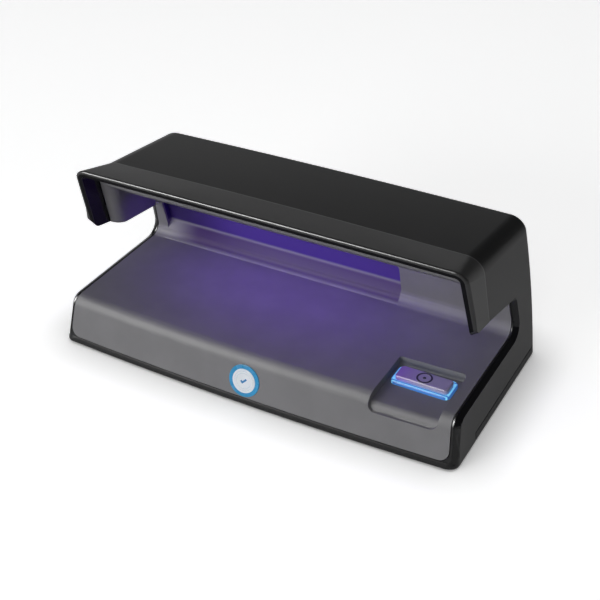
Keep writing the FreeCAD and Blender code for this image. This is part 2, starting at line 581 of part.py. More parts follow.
def screw(x, y, seat_z, tip_z, head_r, head_h, shank_r):
    """Cross-head screw on a vertical axis; its head stands on the side of the seat away from the tip."""
    up = 1.0 if tip_z > seat_z else -1.0
    head_z = seat_z - head_h if up > 0 else seat_z
    shank_z = min(seat_z, tip_z)
    body = post(x, y, head_z, head_z + head_h, head_r).fuse(post(x, y, shank_z, shank_z + abs(tip_z - seat_z), shank_r))
    face_z = seat_z - up * head_h
    slot_z = face_z if up > 0 else face_z - head_h * 0.5
    arm, half = head_r * 0.62, head_r * 0.14
    cross = box(x - arm, x + arm, y - half, y + half, slot_z, slot_z + head_h * 0.5)
    cross = cross.fuse(box(x - half, x + half, y - arm, y + arm, slot_z, slot_z + head_h * 0.5))
    return body.cut(cross).removeSplitter()


def base_screws():
    seat = CUP_TOP_Z - CUP_ROOF
    return Part.makeCompound([screw(x, y, seat, CUP_TOP_Z + SCREW_BITE, SCREW_HEAD_R, SCREW_HEAD_H, SCREW_SHANK_R)
                              for x, y in FRONT_SCREWS + REAR_SCREWS])


def small_screws(places, seat_z, tip_z):
    return Part.makeCompound([screw(x, y, seat_z, tip_z, SMALL_HEAD_R, SMALL_HEAD_H, SMALL_SCREW_R)
                              for x, y in places])


# ---- grey tray -----------------------------------------------------------------------------------------------
def tray_region(inset, low_z, top_z):
    """Everything below and behind the tray's visible surface, moved inward by inset."""
    far_y = BACK_Y + REACH
    join_y = apron_y(PLATFORM_Z) + 2 * TRAY_NOSE_R + FRONT_BOW
    level = PLATFORM_Z - inset
    lean = math.hypot(1.0, APRON_LEAN)
    foot_y = apron_y(low_z) + inset * lean
    nose_y = apron_y(level) + inset * lean
    front = bowed([(join_y + 1, low_z, 0), (join_y + 1, level, 0), (nose_y, level, TRAY_NOSE_R - inset),
                   (foot_y, low_z, 0)])
    wall_lean = math.hypot(1.0, (wall_y(1.0) - wall_y(0.0)))
    corner_y = wall_y(level) + inset * wall_lean
    top_y = wall_y(top_z) + inset * wall_lean
    rear = side_prism([(join_y, low_z, 0), (far_y, low_z, 0), (far_y, top_z, 0), (top_y, top_z, 0),
                       (corner_y, level, NOTCH_FOOT_R + inset), (join_y, level, 0)], -HALF_WIDTH, HALF_WIDTH)
    return front.fuse(rear)


def scoop_void(grow):
    """Finger scoop round the button, from the platform down over the apron; grow enlarges it all round."""
    floor_z = SCOOP_FLOOR_Z - grow
    foot_z = SCOOP_FOOT_Z - grow
    depth = SCOOP_APRON_DEPTH + grow
    back_y = SCOOP_BACK_Y + grow
    top_z, front_y = PLATFORM_Z + 5.0, FRONT_Y - 5.0
    side = bowed([(front_y, foot_z, 0), (apron_y(foot_z) + depth, foot_z, 0.8),
                  (apron_y(floor_z) + depth, floor_z, 4.0 + grow), (back_y, floor_z, 1.2), (back_y, top_z, 0),
                  (front_y, top_z, 0)])
    x0, x1 = SCOOP_X[0] - grow, SCOOP_X[1] + grow
    radius = SCOOP_CORNER_R + grow
    bow_here = FRONT_BOW
    plan = plan_prism([(x0, front_y, 0), (x1, front_y, 0), (x1, back_y + bow_here, radius),
                       (x0, back_y + bow_here, radius)], foot_z - 1, top_z)
    face = rounded_wire([(x0, foot_z, radius), (x1, foot_z, radius), (x1, top_z, 0), (x0, top_z, 0)],
                        lambda x, z: V(x, front_y, z))
    front = Part.Face(face).extrude(V(0, back_y + bow_here - front_y, 0))
    return side.common(plan).common(front)


def pocket_void(grow):
    """Shallow pocket in the rear wall, with a ramp up from the platform; grow enlarges it."""
    deep = POCKET_DEPTH + grow
    start_y = wall_y(PLATFORM_Z) - NOTCH_FOOT_R + grow
    low_z = PLATFORM_Z - grow * 0.5
    top = POCKET_TOP_Z + grow
    side = side_prism([(start_y - 8.0, low_z, 0), (start_y, low_z, 0),
                       (wall_y(POCKET_RAMP_Z) + deep, POCKET_RAMP_Z, 1.5), (wall_y(top) + deep, top, 0),
                       (wall_y(top) - 8.0, top + 2.0, 0)], POCKET_LEFT - grow, POCKET_RIGHT + grow)
    face = rounded_wire([(POCKET_LEFT - grow, 0, 0), (POCKET_RIGHT + grow, 0, 0),
                         (POCKET_RIGHT + grow, top, POCKET_R + grow), (POCKET_LEFT - grow, top, POCKET_R + grow)],
                        lambda x, z: V(x, 0, z))
    return side.common(Part.Face(face).extrude(V(0, BACK_Y, 0)))


def badge_frame():
    """Centre of the badge's seat on the apron and the apron's outward normal."""
    normal = V(0, -1.0, APRON_LEAN)
    normal.normalize()
    return V(0, apron_y(BADGE_Z), BADGE_Z), normal


def inner_tray():
    foot_z = SILL_TOP_Z + SEAM
    skin = tray_region(0.0, foot_z, TRAY_TOP_Z)
    core = tray_region(TRAY_WALL, foot_z - 1.0, TRAY_TOP_Z + 1.0)
    scoop = scoop_void(0.0)
    pocket = pocket_void(0.0)
    sheet = skin.cut(core)
    backing = scoop_void(SCOOP_WALL).fuse(pocket_void(TRAY_WALL)).common(skin)
    bosses = screw_axes(FRONT_SCREWS, CUP_TOP_Z, PLATFORM_Z, BOSS_R).common(skin)
    tray = fuse_all([sheet, backing, bosses]).cut(scoop).cut(pocket).cut(frame_corners(FRAME_CORNER_R - SEAM))
    tray = tray.common(base_block(SIDE_WALL + SEAM, foot_z, TRAY_TOP_Z))
    ring = plan_block((BUTTON_X, BUTTON_Y), (RING_SIZE[0] + 0.2, RING_SIZE[1] + 0.2), RING_CORNER_R + 0.1,
                      0, PLATFORM_Z + 1)
    centre, normal = badge_frame()
    seat = Part.makeCylinder(BADGE_R + 0.1, 5.0, centre - normal * BADGE_SEAT, normal)
    pilot = screw_axes(FRONT_SCREWS, 0, CUP_TOP_Z + SCREW_BITE + 0.5, SCREW_HOLE_R - 0.1)
    return tray.cut(Part.makeCompound([ring, seat, pilot])).removeSplitter()


def front_badge():
    centre, normal = badge_frame()
    disc = Part.makeCylinder(BADGE_R, BADGE_THICK, centre - normal * BADGE_SEAT, normal)
    outer = [e for e in disc.Edges if e.CenterOfMass.y < centre.y - BADGE_SEAT * 0.5 and e.isClosed()]
    return disc.makeFillet(0.25, outer)


# ---- canopy liner --------------------------------------------------------------------------------------------
def liner_front_y(z):
    return LIP_TOP[0] + LIP_LEAN * (LIP_TOP[1] - z) + LINER_SETBACK


def bay_roof(drop, high_z):
    """Side view of the space below the liner's ceiling, which rises towards the front; drop lowers the ceiling."""
    run = (high_z - TRAY_TOP_Z) / BAY_RISE
    move = drop * (math.hypot(1.0, BAY_RISE) - 1.0) / BAY_RISE
    rise_y, roof_z = BAY_RISE_Y - move, TRAY_TOP_Z - drop
    return [(rise_y, roof_z, 0), (rise_y - run, roof_z + run * BAY_RISE, 0)]


def bay_between_cheeks():
    """Space between the liner's cheeks, which are thicker in front, under its ceiling."""
    y_front, y_rear = liner_front_y(TRAY_TOP_Z), wall_y(TRAY_TOP_Z)
    slope = (CHEEK_WALL[1] - CHEEK_WALL[0]) / (y_rear - y_front)
    high_z = LIP_TOP[1]
    wires = []
    for y in (y_front - REACH, y_rear + REACH):
        inset = SIDE_WALL + SEAM + CHEEK_WALL[0] + slope * (y - y_front)
        low, high = side_x(0.0, inset), side_x(high_z, inset)
        corners = [V(-low, y, 0), V(low, y, 0), V(high, y, high_z), V(-high, y, high_z)]
        wires.append(Part.makePolygon(corners + corners[:1]))
    rising, risen = bay_roof(0.0, high_z)
    front_y, far_y = risen[0] - REACH, BACK_Y
    below = side_prism([(front_y, 0, 0), (far_y, 0, 0), (far_y, TRAY_TOP_Z, 0), rising, risen,
                        (front_y, risen[1], 0)], -HALF_WIDTH, HALF_WIDTH)
    return Part.makeLoft(wires, True, True).common(below)


def canopy_liner():
    inset = SIDE_WALL + SEAM
    ceiling_top = TRAY_TOP_Z + LINER_WALL
    rear_y = wall_y(TRAY_TOP_Z) + TRAY_WALL * 1.05
    high_z = LIP_TOP[1] + 5.0
    front = [(liner_front_y(JOIN_Z), JOIN_Z, 0), (rear_y, JOIN_Z, 0), (rear_y, high_z, 0),
             (liner_front_y(high_z), high_z, 0)]
    whole = hood_arch(inset, TOP_WALL + SEAM).common(side_prism(front, -HALF_WIDTH, HALF_WIDTH))
    above, far_above = bay_roof(-LINER_WALL, high_z + LIP_TOP[1])
    attic = side_prism([above, (rear_y + 1, ceiling_top, 0), (rear_y + 1, far_above[1], 0), far_above],
                       -HALF_WIDTH, HALF_WIDTH)
    attic = attic.common(side_prism([(liner_front_y(0) + LINER_WALL, 0, 0), (BACK_Y, 0, 0), (BACK_Y, high_z, 0),
                                     (liner_front_y(high_z) + LINER_WALL, high_z, 0)], -HALF_WIDTH, HALF_WIDTH))
    behind = side_prism([(wall_y(0) - SEAM, 0, 0), (BACK_Y, 0, 0), (BACK_Y, TRAY_TOP_Z, 0),
                         (wall_y(TRAY_TOP_Z) - SEAM, TRAY_TOP_Z, 0)], -HALF_WIDTH, HALF_WIDTH)
    liner = whole.cut(bay_between_cheeks()).cut(attic).cut(behind)
    liner = liner.cut(side_prism(opening_outline(), -HALF_WIDTH, HALF_WIDTH)).Solids[0]
    inner_x = side_x(TRAY_TOP_Z / 2, inset + CHEEK_WALL[0]) + 2.0
    mouth = [e for e in liner.Edges
             if abs(e.CenterOfMass.y - liner_front_y(e.CenterOfMass.z)) < 0.01 and e.BoundBox.ZLength > 10.0
             and abs(e.CenterOfMass.x) < inner_x]
    liner = liner.makeFillet(LINER_FRONT_R, mouth)
    half_x, half_y = WINDOW_OPENING[0] / 2, WINDOW_OPENING[1] / 2
    hole = box(-half_x, half_x, WINDOW_CENTRE_Y - half_y, WINDOW_CENTRE_Y + half_y, TRAY_TOP_Z - 1, ceiling_top + 1)
    screws = screw_axes(LINER_SCREWS, TRAY_TOP_Z - 1, ceiling_top + 1, SMALL_HOLE_R)
    return liner.cut(Part.makeCompound([hole, screws])).removeSplitter()


# ---- lamp ----------------------------------------------------------------------------------------------------
def window_half():
    return WINDOW_OPENING[0] / 2 + WINDOW_LAP, WINDOW_OPENING[1] / 2 + WINDOW_LAP


def lamp_window():
    half_x, half_y = window_half()
    z = TRAY_TOP_Z + LINER_WALL
    return box(-half_x, half_x, WINDOW_CENTRE_Y - half_y, WINDOW_CENTRE_Y + half_y, z, z + WINDOW_THICK)


def lamp_reflector():
    half_x, half_y = window_half()
    low, high = TRAY_TOP_Z + LINER_WALL + WINDOW_THICK, reflector_top()
    flare, t = REFLECTOR_FLARE, REFLECTOR_SHEET
    y0, y1 = WINDOW_CENTRE_Y - half_y, WINDOW_CENTRE_Y + half_y
    outer = side_prism([(y0, low, 0), (y1, low, 0), (y1 - flare, high, 0), (y0 + flare, high, 0)], -half_x, half_x)
    inner = side_prism([(y0 + t, low - 0.01, 0), (y1 - t, low - 0.01, 0), (y1 - flare - t, high - t, 0),
                        (y0 + flare + t, high - t, 0)], -half_x + t, half_x - t)
    slot = box(LAMP_PLUG[0] - PLUG_SIZE[0] / 2 - 0.3, LAMP_PLUG[0] + PLUG_SIZE[0] / 2 + 0.3,
               WINDOW_CENTRE_Y - PLUG_SIZE[1] / 2 - 0.3, WINDOW_CENTRE_Y + PLUG_SIZE[1] / 2 + 0.3, high - 2, high + 1)
    return outer.cut(inner).cut(slot).cut(screw_axes(lamp_screw_places(), high - 2, high + 1, SMALL_HOLE_R))


def led_board_top():
    return reflector_top() - REFLECTOR_SHEET


def led_board():
    length, width, thick = LED_BOARD
    top = led_board_top()
    board = box(-length / 2, length / 2, WINDOW_CENTRE_Y - width / 2, WINDOW_CENTRE_Y + width / 2, top - thick, top)
    return board.cut(screw_axes(lamp_screw_places(), top - thick - 1, top + 1, SMALL_HOLE_R))


def uv_leds():
    """LEDs under the board: a square package with a domed lens."""
    top = led_board_top() - LED_BOARD[2]
    pitch = 2 * (LED_SCREW_X - FIRST_LED) / (LED_COUNT - 1)
    leds = []
    for i in range(LED_COUNT):
        x = -LED_SCREW_X + 6.0 + i * pitch
        body = plan_block((x, WINDOW_CENTRE_Y), LED_SIZE[:2], 0.4, top - LED_SIZE[2] * 0.6, top)
        lens = Part.makeSphere(1.5, V(x, WINDOW_CENTRE_Y, top - LED_SIZE[2] * 0.6 + 0.4))
        leds.append(body.fuse(lens.common(box(x - 2, x + 2, -BACK_Y, BACK_Y, top - 3, top - 0.3))).removeSplitter())
    return Part.makeCompound(leds)


def wire_plug(place, z0, height):
    x, y = place
    block = box(x - PLUG_SIZE[0] / 2, x + PLUG_SIZE[0] / 2, y - PLUG_SIZE[1] / 2, y + PLUG_SIZE[1] / 2, z0, z0 + height)
    return block.makeFillet(0.3, [e for e in block.Edges if e.BoundBox.ZLength > height - 0.1])


# ---- boards --------------------------------------------------------------------------------------------------
def main_board():
    board = plan_block(((MAIN_BOARD_X[0] + MAIN_BOARD_X[1]) / 2, (MAIN_BOARD_Y[0] + MAIN_BOARD_Y[1]) / 2),
                       (MAIN_BOARD_X[1] - MAIN_BOARD_X[0], MAIN_BOARD_Y[1] - MAIN_BOARD_Y[0]), 1.5,
                       MAIN_BOARD_TOP_Z - BOARD_THICK, MAIN_BOARD_TOP_Z)
    return board.cut(screw_axes(MAIN_BOARD_SCREWS, 0, MAIN_BOARD_TOP_Z + 1, SMALL_HOLE_R))


def driver_coil():
    x, y = COIL_PLACE
    z = MAIN_BOARD_TOP_Z
    drum = post(x, y, z, z + COIL_H, COIL_R)
    waist = post(x, y, z + 1.4, z + COIL_H - 1.4, COIL_R + 1).cut(post(x, y, z, z + COIL_H, COIL_R * 0.8))
    return drum.cut(waist)


def driver_capacitors():
    z = MAIN_BOARD_TOP_Z
    cans = []
    for x, y in CAPACITOR_PLACES:
        can = post(x, y, z, z + CAPACITOR_H, CAPACITOR_R)
        groove = Part.makeTorus(CAPACITOR_R + 0.25, 0.6, V(x, y, z + 1.8))
        can = can.cut(groove)
        cans.append(can.makeFillet(0.5, [e for e in can.Edges if e.BoundBox.ZMin > z + CAPACITOR_H - 0.01]))
    return Part.makeCompound(cans)


def driver_chip():
    """Lamp driver with gull-wing legs down both sides."""
    x, y = CHIP_PLACE
    z = MAIN_BOARD_TOP_Z
    length, width, height = CHIP_SIZE
    body = box(x - length / 2, x + length / 2, y - width / 2, y + width / 2, z + 0.2, z + height)
    legs = []
    for i in range(4):
        leg_x = x - length / 2 + length * (i + 0.5) / 4
        for side in (-1, 1):
            outer, inner = side * (width / 2 + 1.0), side * (width / 2 - 0.1)
            legs.append(box(leg_x - 0.25, leg_x + 0.25, min(y + outer, y + inner), max(y + outer, y + inner), z, z + 0.4))
    return fuse_all([body] + legs)


def board_plugs():
    z = MAIN_BOARD_TOP_Z
    return Part.makeCompound([wire_plug(LAMP_PLUG, z, PLUG_SIZE[2]), wire_plug(BUTTON_FEED_PLUG, z, PLUG_SIZE[2])])


def jack_face_y():
    """Inner face of the back wall at the top of the jack, where the leaning back is nearest."""
    top_z = MAIN_BOARD_TOP_Z + JACK_BODY[2]
    foot = V(0, BACK_Y - BACK_WALL, UNDERSIDE_Z)
    arc = Part.Arc(foot, V(0, BACK_MID[0] - BACK_WALL, BACK_MID[1]), V(0, BACK_TOP[0] - BACK_WALL, BACK_TOP[1]))
    circle = arc.toShape().Curve
    return circle.Center.y + math.sqrt(circle.Radius ** 2 - (top_z - circle.Center.z) ** 2)


def dc_inlet_jack():
    width, depth, height = JACK_BODY
    face_y = jack_face_y() - 0.1
    body = box(JACK_X - width / 2, JACK_X + width / 2, face_y - depth, face_y, MAIN_BOARD_TOP_Z, MAIN_BOARD_TOP_Z + height)
    nose_y = BACK_Y - 0.9
    nose = Part.makeCylinder(JACK_NOSE_R, nose_y - face_y + 1.0, V(JACK_X, face_y - 1.0, JACK_AXIS_Z), V(0, 1, 0))
    bore = Part.makeCylinder(JACK_BORE_R, JACK_BORE_DEPTH + 5, V(JACK_X, nose_y - JACK_BORE_DEPTH, JACK_AXIS_Z), V(0, 1, 0))
    pin = Part.makeCylinder(JACK_PIN_R, JACK_BORE_DEPTH - 0.8, V(JACK_X, nose_y - JACK_BORE_DEPTH - 1, JACK_AXIS_Z),
                            V(0, 1, 0))
    return body.fuse(nose).cut(bore).fuse(pin).removeSplitter()


def button_board():
    board = plan_block(((BUTTON_BOARD_X[0] + BUTTON_BOARD_X[1]) / 2, (BUTTON_BOARD_Y[0] + BUTTON_BOARD_Y[1]) / 2),
                       (BUTTON_BOARD_X[1] - BUTTON_BOARD_X[0], BUTTON_BOARD_Y[1] - BUTTON_BOARD_Y[0]), 1.2,
                       BUTTON_BOARD_TOP_Z - BOARD_THICK, BUTTON_BOARD_TOP_Z)
    return board.cut(screw_axes(BUTTON_BOARD_SCREWS, 0, BUTTON_BOARD_TOP_Z + 1, SMALL_HOLE_R))


def routed_lead(points):
    """Wire of radius LEAD_R along straight runs joined by tangent arcs."""
    edges = []
    last = points[0]
    for before, corner, after in zip(points, points[1:], points[2:]):
        run_in, run_out = corner - before, after - corner
        turn = run_in.getAngle(run_out)
        shorter = min(run_in.Length, run_out.Length)
        radius = 0.45 * shorter / math.tan(turn / 2)
        back, ahead = V(run_in).normalize() * -1, V(run_out).normalize()
        start, end = corner + back * 0.45 * shorter, corner + ahead * 0.45 * shorter
        middle = corner + (back + ahead).normalize() * radius * (1 / math.cos(turn / 2) - 1)
        edges.append(Part.LineSegment(last, start).toShape())
        edges.append(Part.Arc(start, middle, end).toShape())
        last = end
    edges.append(Part.LineSegment(last, points[-1]).toShape())
    path = Part.Wire(edges)
    ring = Part.Wire(Part.makeCircle(LEAD_R, points[0], points[1] - points[0]))
    tube = path.makePipeShell([ring], True, False)
    return tube


def lamp_lead():
    x, y = LAMP_PLUG
    top = led_board_top() + LAMP_PLUG_HEIGHT * 0.6
    start_z = MAIN_BOARD_TOP_Z + PLUG_SIZE[2]
    end_y = WINDOW_CENTRE_Y + PLUG_SIZE[1] / 2
    return routed_lead([V(x, y, start_z), V(x, y, TRAY_TOP_Z), V(x, y - 15.0, top - 4.5), V(x, end_y + 6.7, top),
                        V(x, end_y, top)])


def button_lead():
    x0, y0 = BUTTON_FEED_PLUG
    x1, y1 = BUTTON_PLUG
    z0, z1 = MAIN_BOARD_TOP_Z + 3.0, BUTTON_BOARD_TOP_Z + 3.0
    start_y, end_y = y0 - PLUG_SIZE[1] / 2, y1 + PLUG_SIZE[1] / 2
    return routed_lead([V(x0, start_y, z0), V(x0, start_y - 4.0, z0), V(x1, end_y + 4.0, z1), V(x1, end_y, z1)])



# ---- button --------------------------------------------------------------------------------------------------
def button_centre():
    return BUTTON_X, BUTTON_Y


def button_cap():
    """Hollow cap with a stem onto the switch plunger and a catch at each end."""
    hx, hy = CAP_SIZE[0] / 2, CAP_SIZE[1] / 2
    cap = plan_block(button_centre(), CAP_SIZE, CAP_CORNER_R, CAP_SKIRT_Z, CAP_TOP_Z)
    cap = cap.makeFillet(0.7, [e for e in cap.Edges if e.BoundBox.ZMin > CAP_TOP_Z - 0.01])
    hollow = plan_block(button_centre(), (CAP_SIZE[0] - 2 * CAP_WALL, CAP_SIZE[1] - 2 * CAP_WALL),
                        CAP_CORNER_R - CAP_WALL + 0.2, CAP_SKIRT_Z - 1, CAP_TOP_Z - CAP_WALL)
    stem = box(BUTTON_X - 2.0, BUTTON_X + 2.0, BUTTON_Y - 2.0, BUTTON_Y + 2.0, plunger_top(), CAP_TOP_Z - CAP_WALL)
    reach, width, height = CAP_CLIP
    clip_top = ring_bottom() - 0.3
    clips = []
    for side in (-1, 1):
        edge = BUTTON_X + side * hx
        arm = (edge - side * CAP_WALL, edge)
        hook = (edge - side * CAP_WALL, edge + side * reach)
        clips.append(box(min(arm), max(arm), BUTTON_Y - width / 2, BUTTON_Y + width / 2, clip_top - height, CAP_SKIRT_Z + 1))
        clips.append(box(min(hook), max(hook), BUTTON_Y - width / 2, BUTTON_Y + width / 2, clip_top - height, clip_top))
    return fuse_all([cap.cut(hollow), stem] + clips)


def ring_bottom():
    return SCOOP_FLOOR_Z - SCOOP_WALL - RING_FLANGE_THICK


def ring_leg_places():
    hx, hy = RING_SIZE[0] / 2 - 0.3, RING_SIZE[1] / 2 - 0.4
    return [(BUTTON_X + sx * hx, BUTTON_Y + sy * hy) for sx in (-1, 1) for sy in (-1, 1)]


def light_ring():
    """Clear frame round the cap, with a flange under the scoop's floor and four legs on the button's board."""
    floor_under = SCOOP_FLOOR_Z - SCOOP_WALL
    frame = plan_block(button_centre(), RING_SIZE, RING_CORNER_R, ring_bottom(), RING_TOP_Z)
    frame = frame.makeFillet(0.5, [e for e in frame.Edges if e.BoundBox.ZMin > RING_TOP_Z - 0.01])
    flange_size = (RING_SIZE[0] + 2 * RING_FLANGE, RING_SIZE[1] + 2 * RING_FLANGE)
    flange = plan_block(button_centre(), flange_size, RING_CORNER_R + RING_FLANGE, ring_bottom(), floor_under)
    legs = screw_axes(ring_leg_places(), BUTTON_BOARD_TOP_Z, ring_bottom() + 0.5, RING_LEG_R)
    hole_size = (CAP_SIZE[0] + 2 * BUTTON_CLEARANCE, CAP_SIZE[1] + 2 * BUTTON_CLEARANCE)
    hole = plan_block(button_centre(), hole_size, CAP_CORNER_R + BUTTON_CLEARANCE, ring_bottom() - 1, RING_TOP_Z + 1)
    return fuse_all([frame, flange]).cut(hole).fuse(legs).removeSplitter()


def ring_leds():
    length, width, height = RING_LED_SIZE
    z = BUTTON_BOARD_TOP_Z
    leds = []
    for side_x_sign in (-1, 1):
        x = BUTTON_X + side_x_sign * (CAP_SIZE[0] / 2 + 1.8)
        block = box(x - length / 2, x + length / 2, BUTTON_Y - width / 2, BUTTON_Y + width / 2, z, z + height)
        leds.append(block.makeFillet(0.2, [e for e in block.Edges if e.BoundBox.ZMin > z + height - 0.01]))
    return Part.makeCompound(leds)


def switch_top():
    return BUTTON_BOARD_TOP_Z + SWITCH_BODY[1]


def spring_foot_z():
    return BUTTON_BOARD_TOP_Z + SWITCH_FLOOR


def plunger_foot_z():
    return switch_top() - SWITCH_ROOF - 0.3 - PLUNGER_FOOT_H


def plunger_top():
    return CAP_TOP_Z - 5.3


def square_post(size, z0, z1):
    half = size / 2
    return box(BUTTON_X - half, BUTTON_X + half, BUTTON_Y - half, BUTTON_Y + half, z0, z1)


def switch_body():
    shell = square_post(SWITCH_BODY[0], BUTTON_BOARD_TOP_Z, switch_top())
    shell = shell.makeFillet(0.4, [e for e in shell.Edges if e.BoundBox.ZLength > 5])
    room = square_post(SWITCH_BODY[0] - 2 * SWITCH_WALL, spring_foot_z(), switch_top() - SWITCH_ROOF)
    mouth = square_post(PLUNGER_SIZE + 2 * PLUNGER_CLEARANCE, switch_top() - SWITCH_ROOF - 0.5, switch_top() + 1)
    return shell.cut(room).cut(mouth)


def switch_plunger():
    foot = square_post(PLUNGER_FOOT_SIZE, plunger_foot_z(), plunger_foot_z() + PLUNGER_FOOT_H)
    return foot.fuse(square_post(PLUNGER_SIZE, plunger_foot_z(), plunger_top())).removeSplitter()


def switch_spring():
    """Compression spring between the switch's floor and the plunger's foot."""
    low, high = spring_foot_z() + SPRING_WIRE_R, plunger_foot_z() - SPRING_WIRE_R
    helix = Part.makeHelix((high - low) / SPRING_TURNS, high - low, SPRING_R)
    corners = []
    for i in range(SPRING_WIRE_SIDES + 1):
        angle = 2.0 * math.pi * i / SPRING_WIRE_SIDES
        corners.append(V(SPRING_R + SPRING_WIRE_R * math.cos(angle), 0, SPRING_WIRE_R * math.sin(angle)))
    coil = Part.Wire(helix.Edges).makePipeShell([Part.makePolygon(corners)], True, True)
    coil.translate(V(BUTTON_X, BUTTON_Y, low))
    return coil


# ---- whole product -------------------------------------------------------------------------------------------
def build():
    body = envelope()
    space = cavity()
    plate_top = UNDERSIDE_Z + COVER_PLATE
    ceiling_top = TRAY_TOP_Z + LINER_WALL
    board_face = led_board_top() - LED_BOARD[2]
    return {
        "outer_shell": outer_shell(body, space),
        "base_cover": base_cover(body),
        "rubber_feet": rubber_feet(),
        "base_screws": base_screws(),
        "inner_tray": inner_tray(),
        "front_badge": front_badge(),
        "canopy_liner": canopy_liner(),
        "liner_screws": small_screws(LINER_SCREWS, TRAY_TOP_Z, ceiling_top + LINER_SCREW_BITE),
        "lamp_window": lamp_window(),
        "lamp_reflector": lamp_reflector(),
        "led_board": led_board(),
        "uv_leds": uv_leds(),
        "led_board_screws": small_screws(lamp_screw_places(), board_face, lamp_screw_top()),
        "lamp_plug": wire_plug((LAMP_PLUG[0], WINDOW_CENTRE_Y), led_board_top(), LAMP_PLUG_HEIGHT),
        "lamp_lead": lamp_lead(),
        "main_board": main_board(),
        "main_board_screws": small_screws(MAIN_BOARD_SCREWS, MAIN_BOARD_TOP_Z, main_screw_foot()),
        "driver_coil": driver_coil(),
        "driver_capacitors": driver_capacitors(),
        "driver_chip": driver_chip(),
        "board_plugs": board_plugs(),
        "dc_inlet_jack": dc_inlet_jack(),
        "button_board": button_board(),
        "button_board_screws": small_screws(BUTTON_BOARD_SCREWS, BUTTON_BOARD_TOP_Z, button_screw_foot()),
        "button_plug": wire_plug(BUTTON_PLUG, BUTTON_BOARD_TOP_Z, PLUG_SIZE[2]),
        "button_lead": button_lead(),
        "ring_leds": ring_leds(),
        "light_ring": light_ring(),
        "switch_body": switch_body(),
        "switch_spring": switch_spring(),
        "switch_plunger": switch_plunger(),
        "button_cap": button_cap(),
    }


if __name__ == "__main__":
    os.makedirs("parts", exist_ok=True)
    for name, shape in build().items():
        shape.exportStep("parts/" + name + ".step")
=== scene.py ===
"""Looks of the counterfeit bill detector: finishes, dressed pieces and studio."""
import logging
import math
from dataclasses import dataclass
from enum import Enum
from typing import Sequence

import bpy
from mathutils import Matrix, Vector


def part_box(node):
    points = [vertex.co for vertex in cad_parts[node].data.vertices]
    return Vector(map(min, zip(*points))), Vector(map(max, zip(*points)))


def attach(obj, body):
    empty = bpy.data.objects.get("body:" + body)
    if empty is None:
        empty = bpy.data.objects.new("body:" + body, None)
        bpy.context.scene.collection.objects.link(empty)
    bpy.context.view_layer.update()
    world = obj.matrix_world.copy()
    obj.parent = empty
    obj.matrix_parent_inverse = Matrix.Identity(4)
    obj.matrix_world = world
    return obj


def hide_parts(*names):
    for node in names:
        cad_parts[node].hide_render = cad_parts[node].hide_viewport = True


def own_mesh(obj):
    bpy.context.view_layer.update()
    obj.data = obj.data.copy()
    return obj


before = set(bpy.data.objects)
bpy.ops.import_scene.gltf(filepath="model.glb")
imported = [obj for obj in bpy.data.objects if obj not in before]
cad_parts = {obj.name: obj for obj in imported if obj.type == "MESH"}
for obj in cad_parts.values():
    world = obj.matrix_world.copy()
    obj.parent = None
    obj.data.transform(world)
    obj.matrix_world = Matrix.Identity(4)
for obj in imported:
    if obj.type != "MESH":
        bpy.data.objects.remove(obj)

Colour = tuple[float, float, float]
Socket = bpy.types.NodeSocket

LOG = logging.getLogger("bill_detector")
ON_PLANE = 0.00006
EASED_ANGLE = math.radians(40.0)
SMOOTH_ANGLE = math.radians(32.0)
FLAT_ANGLE = math.radians(0.4)

BLACK: Colour = (0.0, 0.0, 0.0)
PLATED_STEEL: Colour = (0.52, 0.52, 0.5)
NYLON: Colour = (0.72, 0.70, 0.62)
SLEEVE_BLACK: Colour = (0.03, 0.03, 0.032)
BOARD_GREEN: Colour = (0.012, 0.12, 0.045)
BOARD_TRACK: Colour = (0.5, 0.42, 0.15)


def scaled(colour: Colour, factor: float) -> Colour:
    """Makes a colour lighter or darker by a factor, up to white."""
    return tuple(min(1.0, share * factor) for share in colour)


class Grain(Enum):
    """Moulded surface texture: feature size in metres and depth in metres."""

    FINE = (0.00032, 0.000012)
    SOFT = (0.0007, 0.000018)
    POLISHED = (0.004, 0.000003)


class Body(Enum):
    """The bodies that pieces ride on."""

    HOUSING = "housing"
    BUTTON = "power_button"


